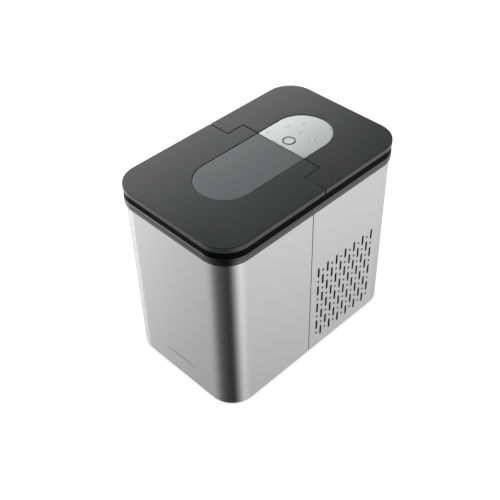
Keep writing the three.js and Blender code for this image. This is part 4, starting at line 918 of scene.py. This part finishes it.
def powerRing():
    low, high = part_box("power_ring")
    outer, inner, height = high.x, high.x - controlLook["ringWidth"], controlLook["ringRound"]
    middle, half = (outer + inner) / 2, (outer - inner) / 2
    profile = [(inner, low.z), (outer, low.z)]
    for i in range(9):
        a = math.pi * i / 8
        profile.append((middle + half * math.cos(a), high.z - height * (1 - math.sin(a))))
    profile.append((inner, low.z))
    place = centreOf("power_ring")
    piece = lathe("power_ring_fine", profile, darkChrome, (place.x, place.y, 0), segments=72)
    adopt(softened(piece), "power_ring")


def button(node, radius, dish, symbol=None):
    # a cap with a rounded edge and a shallow dish, on its stem
    look = controlLook
    low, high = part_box(node)
    place = centreOf(node)
    edge, stem, flange = look["capEdge"], radius - look["stemIn"], (high.x - low.x) / 2
    upper = high.z - look["flangeTop"]
    lower = upper - look["flangeThick"]
    profile = [(0, low.z), (stem, low.z), (stem, lower), (flange, lower), (flange, upper), (radius, upper)]
    for i in range(6):
        a = math.pi / 2 * i / 5
        profile.append((radius - edge * (1 - math.cos(a)), high.z - edge * (1 - math.sin(a))))
    for share in (0.75, 0.5, 0.25, 0):
        bowl = dish * (1 - share**2) * 0.5 * (1 + math.cos(math.pi * share))
        profile.append(((radius - edge) * share, high.z - bowl))
    cap = softened(lathe(node + "_fine", profile, whiteGloss, (place.x, place.y, 0), segments=64))
    if symbol:
        cap = joined(node + "_fine", cap, symbol(place.x, place.y, high.z - dish + 0.03 * mm))
    adopt(cap, node)


def stroke(name, points, width, z, material, closed=False):
    # a flat printed line of even width along points
    thick = controlLook["inkThick"]
    rings = []
    for i, (x, y) in enumerate(points):
        before = points[i - 1] if closed or i else points[i]
        after = points[(i + 1) % len(points)] if closed or i + 1 < len(points) else points[i]
        along = Vector((after[0] - before[0], after[1] - before[1])).normalized()
        off = Vector((-along.y, along.x)) * width / 2
        rings.append([(x + off.x, y + off.y, z), (x - off.x, y - off.y, z),
                      (x - off.x, y - off.y, z + thick), (x + off.x, y + off.y, z + thick)])
    return loft(name, rings, material, closed=closed)


def powerSymbol(x, y, z):
    radius, width = controlLook["symbolRadius"], controlLook["symbolLine"]
    loop = arc(x, y, radius, 125, 415, 28)
    bar = [(x, y + 0.8 * mm), (x, y + radius + 0.8 * mm)]
    parts = [stroke("loop", loop, width, z, greyInk), stroke("bar", bar, width, z, greyInk)]
    return joined("symbol", *parts)


def printedMarks():
    # plain pictograms beside the lenses: a drop, an ice cube, a large and a small bullet
    z = fasciaHigh.z + 0.01 * mm
    width, away = controlLook["markLine"], controlLook["markAway"]
    marks = []
    drop, cube, large, small = lensPlaces()
    x, y = drop[0], drop[1] + away
    tear = [(x + 1.5 * mm * math.sin(a) * math.sin(a / 2) ** 1.5, y + 2.1 * mm * math.cos(a))
            for a in [2 * math.pi * i / 28 for i in range(28)]]
    marks.append(stroke("drop", tear, width, z, greyInk, closed=True))
    x, y = cube[0], cube[1] + away
    hexagon = arc(x, y, 1.9 * mm, 30, 330, 5)
    marks.append(stroke("cube", hexagon, width, z, greyInk, closed=True))
    for i in (0, 2, 4):
        marks.append(stroke("edge", [(x, y), hexagon[(i + 2) % 6]], width, z, greyInk))
    for (px, py), size in ((large, 1.8 * mm), (small, 1.2 * mm)):
        y = py + 5 * mm
        bullet = arc(px, y, size, 0, 180, 14) + [(px - size, y - 1.4 * size), (px + size, y - 1.4 * size)]
        marks.append(stroke("bullet", bullet, width, z, greyInk, closed=True))
    piece = joined("printed_marks", *marks)
    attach(piece, "housing")


fascia()
powerRing()
button("power_button", controlLook["powerRadius"], controlLook["powerDish"], powerSymbol)
button("select_button", controlLook["selectRadius"], controlLook["selectDish"])
printedMarks()
print("controls made")

# small outside pieces
badgeLook = {"width": 58 * mm, "height": 1.1 * mm, "proud": 0.12 * mm, "aboveEdge": 35 * mm}
screwLook = {"Head Radius": 3.6 * mm, "Head Height": 1.6 * mm, "Recess Width": 0.7 * mm,
             "Recess Length": 3.6 * mm, "Shank Radius": 1.5 * mm, "Shank Length": 6 * mm}
footLook = {"hollow": 0.8 * mm, "tread": 0.8 * mm, "rim": 1.6 * mm, "hem": 1.5 * mm, "peg": 4 * mm,
            "step": 0.2 * mm}
glandLook = {"bore": 3.8 * mm, "neckIn": 2.3 * mm, "lead": 1.5 * mm}
capLook = {"shank": 4.3 * mm, "lead": 1.1 * mm, "dish": 0.7 * mm, "dishShare": 0.62}


def frontBadge():
    # a plain raised line on the front face
    look = badgeLook
    z, y = bodyLow.z + look["aboveEdge"], bodyLow.y
    half, r = look["width"] / 2, look["height"] / 2
    outline = arc(half - r, 0, r, -90, 90, 8) + arc(-half + r, 0, r, 90, 270, 8)
    rings = [[(x, y - depth, z + h) for x, h in moved(outline, grow)]
             for depth, grow in ((-0.02 * mm, 0), (look["proud"] * 0.6, 0), (look["proud"], -0.1 * mm))]
    piece = softened(loft("front_badge_line", rings, darkChrome))
    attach(piece, "housing")


def backScrews():
    # pan heads with a cross recess, one tree for all four
    names = [f"back_screw_{i}" for i in range(1, 5)]
    places = [centreOf(n) for n in names]
    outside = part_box(names[0])[1].y
    spots = build("back_screws", [(p.x, outside - screwLook["Head Height"], p.z) for p in places], [])
    graph, wire = newTree("screws", {label: "Float" for label in screwLook})
    ball = graph.make("GeometryNodeMeshUVSphere",
                      {"Segments": 32, "Rings": 16, "Radius": wire["Head Radius"]})
    squash = graph.vector(X=1.0, Y=1.0, Z=wire["Head Height"] / wire["Head Radius"])
    dome = graph.make("GeometryNodeTransform", {"Geometry": ball, "Scale": squash})
    bars = []
    for first, second in (("Recess Width", "Recess Length"), ("Recess Length", "Recess Width")):
        size = graph.vector(X=wire[first], Y=wire[second], Z=wire["Head Height"])
        bar = graph.make("GeometryNodeMeshCube", {"Size": size})
        lift = graph.vector(Z=wire["Head Height"])
        bars.append(graph.make("GeometryNodeTransform", {"Geometry": bar, "Translation": lift}))
    cross = graph.make("GeometryNodeJoinGeometry", {"Geometry": bars})
    head = graph.make("GeometryNodeMeshBoolean",
                      {"Mesh 1": dome, "Mesh 2": cross}, operation="DIFFERENCE", solver="EXACT")
    shank = graph.make("GeometryNodeMeshCylinder", {
        "Vertices": 24, "Radius": wire["Shank Radius"], "Depth": wire["Shank Length"]})
    down = graph.vector(Z=wire["Shank Length"] * -0.5)
    stem = graph.make("GeometryNodeTransform", {"Geometry": shank, "Translation": down})
    screw = graph.make("GeometryNodeJoinGeometry", {"Geometry": [head, stem]})
    outward = graph.make("GeometryNodeTransform", {"Geometry": screw, "Rotation": (-math.pi / 2, 0, 0)})
    points = graph.make("GeometryNodeMeshToPoints", {"Mesh": wire["Geometry"]})
    many = graph.make("GeometryNodeInstanceOnPoints", {"Points": points, "Instance": outward})
    endTree(graph, many, zincPlate)
    grown(spots, graph, screwLook)
    adopt(softened(spots), *names)


def rubberFeet():
    # a hollow tread, a stepped rim, a neck that tapers in, and a peg up through the base
    look = footLook
    for node in ("foot_front_left", "foot_front_right", "foot_rear_left", "foot_rear_right"):
        low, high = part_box(node)
        place = centreOf(node)
        r = (high.x - low.x) / 2
        hem, under = r - look["hem"], bodyLow.z + 0.2 * mm
        tread, step, peg = look["tread"], look["step"], look["peg"]
        profile = [(0, look["hollow"]), (r * 0.55, look["hollow"]), (r * 0.6, 0), (r - tread, 0),
                   (r - step, step), (r, tread), (r, look["rim"]), (hem, under - 0.6 * mm),
                   (hem - 0.5 * mm, under), (peg, under), (peg, high.z), (0, high.z)]
        piece = lathe(node + "_fine", profile, softRubber, (place.x, place.y, 0))
        adopt(softened(piece), node)


def cordGland():
    # a bushing: neck through the wall, rounded flange outside, and a bore for a lead
    look = glandLook
    low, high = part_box("cord_gland")
    place = centreOf("cord_gland")
    wall, face = bodyHigh.y, high.y
    r = (high.x - low.x) / 2
    bore, neck = look["bore"], r - look["neckIn"]
    profile = [(bore, low.y), (neck - 0.6 * mm, low.y), (neck, low.y + look["lead"]), (neck, wall + fit),
               (r - 0.2 * mm, wall + fit), (r, wall + 0.7 * mm), (r, face - 0.9 * mm),
               (r - 0.3 * mm, face - 0.3 * mm), (r - 1 * mm, face), (bore + 1.2 * mm, face),
               (bore + 0.3 * mm, face - 0.4 * mm), (bore, face - 1.2 * mm), (bore, low.y)]
    piece = lathe("cord_gland_fine", profile, softRubber, (place.x, 0, place.z), "y")
    adopt(softened(piece), "cord_gland")


def drainCap():
    # a push-in plug with a dished round head
    look = capLook
    low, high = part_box("drain_cap")
    place = centreOf("drain_cap")
    r, shank = (high.z - low.z) / 2, look["shank"]
    outside, wall = -low.x, -bodyLow.x
    dish = outside - look["dish"]
    profile = [(0, -high.x), (shank - look["lead"], -high.x), (shank - 0.1 * mm, -high.x + 1.5 * mm),
               (shank, wall + fit), (r - 0.2 * mm, wall + fit), (r, wall + 0.6 * mm), (r, dish),
               (r - 0.2 * mm, outside - 0.2 * mm), (r - 0.8 * mm, outside),
               (r * look["dishShare"], outside), (r * 0.55, outside - 0.5 * mm), (r * 0.2, dish),
               (0, dish)]
    cap = lathe("drain_cap_fine", profile, softRubber, (0, place.y, place.z), "-x")
    adopt(softened(cap), "drain_cap")


frontBadge()
backScrews()
rubberFeet()
cordGland()
drainCap()
print("small outside pieces made")

# ice mechanism and cooling unit
evaporatorLook = {"fingerRadius": 4.5 * mm, "headerRadius": 6 * mm, "headerEdge": 0.8 * mm,
                  "pitch": 16 * mm, "stubRadius": 4 * mm, "stubEdge": 0.4 * mm}
condenserLook = {"margin": 7 * mm, "step": 1.8 * mm, "finThick": 0.3 * mm, "tubeRadius": 3.4 * mm,
                 "columnHalf": 6.4 * mm, "rows": 6, "overlap": 1 * mm, "bend": 5.5 * mm}
fanLook = {"hub": 13 * mm, "depth": 10 * mm, "blades": 7, "tipGap": 0.5 * mm, "root": 1.5 * mm,
           "sweep": 0.42, "chord": 0.62, "pitchShare": 0.82, "camber": 1.1 * mm, "halfThick": 0.6 * mm,
           "shaft": 2.5 * mm}
compressorLook = {
    "base": 0.5,  # radii of the foot and the pot, in shares of the flange's
    "pot": 0.94,
    "bottom": 0.2,  # heights in shares of the whole: end of the foot's curve, and start of the lid's
    "dome": 0.7,
    "seam": (0.495, 0.5, 0.505, 0.53, 0.538, 0.543),
}


def evaporator():
    # nickel-plated fingers in a row under their header, and two stubs through the rear wall
    low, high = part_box("evaporator")
    look = evaporatorLook
    radius, headerR, pitch = look["fingerRadius"], look["headerRadius"], look["pitch"]
    headerZ = high.z - headerR
    fingerY = low.y + headerR
    graph, wire = newTree("fingers", {"Count": "Int", "Pitch": "Float", "Radius": "Float",
                                      "Length": "Float", "Place": "Vector"})
    line = graph.make("GeometryNodeCurvePrimitiveLine", {
        "Start": graph.vector(Z=wire["Length"] * -1.0),
        "End": (0, 0, 0)})
    dense = graph.make("GeometryNodeResampleCurve", {"Curve": line, "Count": 40})
    along = graph.make("GeometryNodeSplineParameter")
    tip = (1 - along * wire["Length"] / wire["Radius"])
    bulge = graph.make("ShaderNodeMath", {0: tip, 1: 0.0}, operation="MAXIMUM")
    roundTip = graph.make("ShaderNodeMath", {0: 1 - bulge * bulge}, operation="SQRT")
    ring = graph.make("GeometryNodeCurvePrimitiveCircle", {"Resolution": 28, "Radius": wire["Radius"]})
    finger = graph.make("GeometryNodeCurveToMesh", {
        "Curve": dense, "Profile Curve": ring, "Scale": roundTip, "Fill Caps": True})
    index = graph.make("GeometryNodeInputIndex")
    x = (index - (wire["Count"] - 1) * 0.5) * wire["Pitch"]
    spot = graph.make("ShaderNodeVectorMath", {0: graph.vector(X=x), 1: wire["Place"]}, operation="ADD")
    points = graph.make("GeometryNodePoints", {"Count": wire["Count"], "Position": spot})
    many = graph.make("GeometryNodeInstanceOnPoints", {"Points": points, "Instance": finger})
    endTree(graph, many, nickelPlate)
    count = int((high.x - low.x - 2 * radius) / pitch) + 1
    fingers = grown(seed("fingers"), graph, {
        "Count": count, "Pitch": pitch, "Radius": radius, "Length": headerZ - low.z,
        "Place": (0, fingerY, headerZ)})
    parts = [softened(fingers)]
    e = look["headerEdge"]
    tube = [(0, low.x), (headerR - e, low.x), (headerR, low.x + e), (headerR, high.x - e),
            (headerR - e, high.x), (0, high.x)]
    parts.append(softened(lathe("header", tube, nickelPlate, (0, fingerY, headerZ), "x")))
    r, e = look["stubRadius"], look["stubEdge"]
    for sx in (-1, 1):
        stub = [(0, fingerY), (r, fingerY), (r, high.y - e), (r - e, high.y), (0, high.y)]
        place = (sx * (high.x - r), 0, headerZ)
        parts.append(softened(lathe("stub", stub, nickelPlate, place, "y")))
    adopt(joined("evaporator_fine", *parts), "evaporator")


def condenser():
    # thin upright fins crossed by level copper tubes, joined by bends at the ends
    low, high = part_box("condenser")
    graph, wire = newTree("fins", {"Count": "Int", "Start": "Vector", "Step": "Float",
                                   "Fin Size": "Vector"})
    fin = graph.make("GeometryNodeMeshCube", {"Size": wire["Fin Size"]})
    offset = graph.vector(Y=wire["Step"])
    line = graph.make("GeometryNodeMeshLine", {
        "Count": wire["Count"], "Start Location": wire["Start"], "Offset": offset}, mode="OFFSET")
    many = graph.make("GeometryNodeInstanceOnPoints", {"Points": line, "Instance": fin})
    endTree(graph, many, rolledAluminium)
    look = condenserLook
    margin, step, rows = look["margin"], look["step"], look["rows"]
    run = high.y - low.y - 2 * margin
    count = int(run / step) + 1
    middle = (low + high) / 2
    fins = grown(seed("fins"), graph, {
        "Count": count, "Start": (middle.x, low.y + margin, middle.z), "Step": step,
        "Fin Size": (high.x - low.x, look["finThick"], high.z - low.z)})
    parts = [fins]
    spacing = (high.z - low.z) / rows
    ends = (low.y + margin - look["overlap"], high.y - margin + look["overlap"])
    for column in (-1, 1):
        x = middle.x + column * look["columnHalf"]
        points = []
        for row in range(rows):
            z = low.z + spacing * (row + 0.5)
            near, far = ends if row % 2 == 0 else ends[::-1]
            points += [(x, near, z), (x, far, z)]
        parts.append(tube("tube", points, look["tubeRadius"], copperTube, look["bend"]))
    adopt(joined("condenser_fine", *parts), "condenser")


def tube(name, points, radius, material, bend):
    # a round tube through points, with half-round bends where it doubles back
    path, sides = [], 16
    for i, p in enumerate(points):
        path.append(Vector(p))
        if i % 2 == 1 and i + 1 < len(points):
            a, b = Vector(p), Vector(points[i + 1])
            out = (a - Vector(points[i - 1])).normalized() * bend
            for k in range(1, 8):
                t = math.pi * k / 8
                path.append((a + b) / 2 + (a - b) / 2 * math.cos(t) + out * math.sin(t))
    rings = []
    side = Vector((1, 0, 0))
    for i, p in enumerate(path):
        along = (path[min(i + 1, len(path) - 1)] - path[max(i - 1, 0)]).normalized()
        up = along.cross(side).normalized()
        ring = []
        for k in range(sides):
            t = 2 * math.pi * k / sides
            ring.append(p + (side * math.cos(t) + up * math.sin(t)) * radius)
        rings.append(ring)
    return softened(loft(name, rings, material))


def fanRotor():
    # curved blades turned about the hub
    low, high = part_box("fan_rotor")
    look = fanLook
    centre = Vector((0, (low.y + high.y) / 2, (low.z + high.z) / 2))
    hub, depth, shaft, root = look["hub"], look["depth"], look["shaft"], look["hub"] - look["root"]
    reach = (high.z - low.z) / 2 - look["tipGap"]
    graph, wire = newTree("blades", {"Count": "Int"})
    index = graph.make("GeometryNodeInputIndex")
    angle = index * (2 * math.pi) / wire["Count"]
    turn = graph.vector(X=angle)
    points = graph.make("GeometryNodePoints", {"Count": wire["Count"]})
    many = graph.make("GeometryNodeInstanceOnPoints", {
        "Points": points, "Instance": wire["Geometry"], "Rotation": turn})
    endTree(graph, many, blackMoulding)
    verts, faces = [], []
    spans, chords = 8, 8
    for face in (-1, 1):
        for i in range(spans + 1):
            r = root + (reach - root) * i / spans
            for j in range(chords + 1):
                u = j / chords - 0.5
                a = look["sweep"] * i / spans + u * look["chord"]
                bow = look["camber"] * (4 * u * u - 1)
                x = -u * depth * look["pitchShare"] + bow + face * look["halfThick"]
                verts.append((x, r * math.sin(a), r * math.cos(a)))
    layer = (spans + 1) * (chords + 1)
    row = chords + 1
    for i in range(spans):
        for j in range(chords):
            a = i * row + j
            faces.append((a, a + 1, a + row + 1, a + row))
            faces.append((layer + a, layer + a + row, layer + a + row + 1, layer + a + 1))
    rim = [i * row for i in range(spans)] + [spans * row + j for j in range(chords)]
    rim += [i * row + chords for i in range(spans, 0, -1)] + list(range(chords, 0, -1))
    for k, a in enumerate(rim):
        b = rim[(k + 1) % len(rim)]
        faces.append((a, b, layer + b, layer + a))
    blades = grown(build("blade", verts, faces, blackMoulding), graph, {"Count": look["blades"]})
    blades.data.transform(Matrix.Translation(centre + Vector((low.x + depth / 2, 0, 0))))
    profile = [(0, low.x), (shaft, low.x), (hub - 2 * mm, low.x), (hub, low.x + 1.5 * mm),
               (hub, low.x + depth), (shaft, low.x + depth), (shaft, high.x), (0, high.x)]
    hubPiece = lathe("hub", profile, blackMoulding, centre, "x")
    adopt(joined("fan_rotor_fine", softened(blades), softened(hubPiece)), "fan_rotor")


def compressor():
    # a drawn steel pot and lid, welded round the middle
    look = compressorLook
    low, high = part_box("compressor")
    centre = (low + high) / 2
    r, h = (high.x - low.x) / 2, high.z - low.z
    base, pot, lip, lift = r * look["base"], r * look["pot"], r - 0.5 * mm, 0.4 * mm
    profile = [(0, 0), (base, lift)]
    for i in range(10):
        a = math.pi / 2 * i / 9
        profile.append((base + (pot - base) * math.sin(a), h * look["bottom"] * (1 - math.cos(a)) + lift))
    profile += [(width, h * share) for width, share in zip((pot, lip, r, r, lip, pot), look["seam"])]
    for i in range(12):
        a = math.pi / 2 * i / 11
        profile.append((pot * math.cos(a), h * (look["dome"] + (1 - look["dome"]) * math.sin(a))))
    profile[-1] = (0, h)
    piece = lathe("compressor_fine", profile, blackEnamel, (centre.x, centre.y, low.z), segments=72)
    adopt(softened(piece), "compressor")


evaporator()
condenser()
fanRotor()
compressor()
for node in ("suction_tube", "discharge_tube", "capillary_tube", "pump_hose"):
    refined(node, bevel=0.0, rounds=1)
refined("indicator_light_pipe", material=milkyLens)
for node in sorted(set(nodes) - madeFor):
    refined(node)
print("inner pieces made; all nodes stood for:", madeFor == set(nodes))

# camera
cameraLook = {
    "place": (0.668, -0.6689, 0.9903),
    "azimuth": 46.03,
    "elevation": 42.11,
    "roll": -1.49,
    "lens": 62.63,
    "sensor": 36,
    "clip": (0.05, 60),
}


def placeCamera():
    look = cameraLook
    azimuth, elevation, roll = (math.radians(look[k]) for k in ("azimuth", "elevation", "roll"))
    back = Vector((math.sin(azimuth) * math.cos(elevation), -math.cos(azimuth) * math.cos(elevation),
                   math.sin(elevation)))
    level = (-back).cross(Vector((0, 0, 1))).normalized()
    up = level.cross(-back)
    right = level * math.cos(roll) + up * math.sin(roll)
    over = up * math.cos(roll) - level * math.sin(roll)
    data = bpy.data.cameras.new("camera")
    data.lens, data.sensor_width = look["lens"], look["sensor"]
    data.clip_start, data.clip_end = look["clip"]
    camera = bpy.data.objects.new("camera", data)
    turn = Matrix((right, over, back)).transposed().to_4x4()
    camera.matrix_world = Matrix.Translation(look["place"]) @ turn
    bpy.context.scene.collection.objects.link(camera)
    bpy.context.scene.camera = camera


placeCamera()

# studio
studioLook = {
    "worldLevel": 0.45,
    "floorLevel": 0.9,
    "floorGlow": 0.75,
    "floorSize": 14.0,
    "domeRadius": 6.0,
    # what polished upright faces see around them: direction in degrees, and brightness
    "walls": ((-180, 0.85), (-165, 0.95), (-152, 1.12), (-148, 1.03), (-144.5, 0.8), (-141, 0.6),
              (-138, 0.48), (-131, 0.5), (-123, 0.62), (-114, 0.5), (-106, 0.4), (-93, 0.22),
              (-78, 0.12), (-63, 0.08), (-48, 0.05), (-38, 0.06), (-31, 0.13), (-18, 0.42),
              (-4, 0.85), (10, 1.0), (24, 0.82), (44, 0.78), (55, 0.64), (90, 0.62), (103, 0.6),
              (111, 0.1), (163, 0.1), (171, 0.75)),
    # how the walls brighten with the height on the dome: share of its radius, and factor
    "rise": ((-1.0, 0.1), (-0.95, 0.13), (-0.52, 1.45), (-0.42, 1.4), (-0.25, 0.95), (0.0, 0.85)),
    # and the soft box overhead, brighter towards the left: sideways over height, and brightness
    "ceiling": ((-3.0, 2.5), (-1.25, 2.5), (-1.12, 2.35), (-1.03, 1.65), (-0.95, 0.72), (-0.88, 0.36),
                (-0.82, 0.2), (-0.7, 0.1), (3.0, 0.08)),
    "key": {"place": (-0.32, -0.02, 0.5), "aim": (0.0, -0.02, 0.3), "size": (0.2, 1.3), "power": 1.6},
    "fill": {"place": (0.9, -1.3, 1.4), "aim": (0, 0, 0.15), "size": (1.2, 1.2), "power": 1.5},
}


def hideFrom(piece, *rays):
    for ray in rays:
        setattr(piece, "visible_" + ray, False)


def reflectionDome():
    # seen only in polished surfaces: soft bright walls with dark flags between them
    look = studioLook
    bpy.ops.mesh.primitive_uv_sphere_add(segments=64, ring_count=32, radius=look["domeRadius"])
    dome = bpy.context.object
    dome.name = "reflection_dome"
    material = bpy.data.materials.new("studioWalls")
    material.use_nodes = True
    material.node_tree.nodes.clear()
    graph = Graph(material.node_tree)
    place = graph.make("ShaderNodeTexCoord", output=3)
    split = graph.make("ShaderNodeSeparateXYZ", {0: place})
    x, y, z = split, split.other("Y"), split.other("Z")
    around = graph.make("ShaderNodeMath", {0: y, 1: x}, operation="ARCTAN2") / (2 * math.pi) + 0.5
    height = z / look["domeRadius"]
    full = 2.5  # the brightest level, as a ramp holds no more than one
    stops = [((angle + 180) / 360, level / full) for angle, level in look["walls"]]
    walls = graph.make("ShaderNodeValToRGB", {"Fac": around}, stops=stops)
    raised = graph.make("ShaderNodeMath", {0: z, 1: 0.01}, operation="MAXIMUM")
    stops = [((slant + 3) / 6, level / full) for slant, level in look["ceiling"]]
    ceiling = graph.make("ShaderNodeValToRGB", {"Fac": x / raised / 6 + 0.5}, stops=stops)
    stops = [((share + 1) / 2, level / 2) for share, level in look["rise"]]
    fade = graph.make("ShaderNodeValToRGB", {"Fac": height * 0.5 + 0.5}, stops=stops)
    upper = graph.make("ShaderNodeMapRange", {
        "Value": height, "From Min": 0.1, "From Max": 0.35}, interpolation_type="SMOOTHSTEP")
    dimmed = graph.mixColours(fade * 1.0, grey(0), walls)
    blend = graph.mixColours(upper, dimmed, ceiling * 0.5)
    glow = graph.make("ShaderNodeEmission", {"Color": blend, "Strength": 2 * full})
    graph.make("ShaderNodeOutputMaterial", {"Surface": glow})
    material.cycles.emission_sampling = "NONE"
    dome.data.materials.append(material)
    hideFrom(dome, "camera", "diffuse", "shadow", "transmission", "volume_scatter")


def studio():
    look = studioLook
    scene = bpy.context.scene
    scene.view_settings.view_transform = "Standard"
    world = bpy.data.worlds.new("world")
    scene.world = world
    world.use_nodes = True
    sky = world.node_tree.nodes["Background"]
    sky.inputs["Color"].default_value = grey(1.0)
    sky.inputs["Strength"].default_value = look["worldLevel"]
    bpy.ops.mesh.primitive_plane_add(size=look["floorSize"])
    floor = bpy.context.object
    floor.name = "floor"
    paper = moulded("floorPaper", grey(look["floorLevel"]), 0.9, texture=60, relief=0.02,
                    **{"Emission Color": grey(1.0), "Emission Strength": look["floorGlow"]})
    floor.data.materials.append(paper)
    hideFrom(floor, "glossy")
    bpy.ops.mesh.primitive_uv_sphere_add(segments=64, ring_count=32, radius=look["domeRadius"] * 1.1)
    backdrop = bpy.context.object
    backdrop.name = "backdrop"
    white = finish("backdropWhite", {"Base Color": grey(0), "Emission Color": grey(1.0),
                                     "Emission Strength": 1.0})
    white.cycles.emission_sampling = "NONE"
    backdrop.data.materials.append(white)
    hideFrom(backdrop, "glossy", "diffuse", "shadow", "transmission", "volume_scatter")
    for kind in ("key", "fill"):
        lamp = bpy.data.lights.new(kind, "AREA")
        lamp.shape, lamp.energy = "RECTANGLE", look[kind]["power"]
        lamp.size, lamp.size_y = look[kind]["size"]
        lit = bpy.data.objects.new(kind, lamp)
        lit.location = look[kind]["place"]
        aim = Vector(look[kind]["aim"]) - Vector(look[kind]["place"])
        lit.rotation_mode = "QUATERNION"
        lit.rotation_quaternion = aim.to_track_quat("-Z", "Y")
        hideFrom(lit, "camera", "glossy")
        scene.collection.objects.link(lit)


reflectionDome()
studio()
print("studio set")
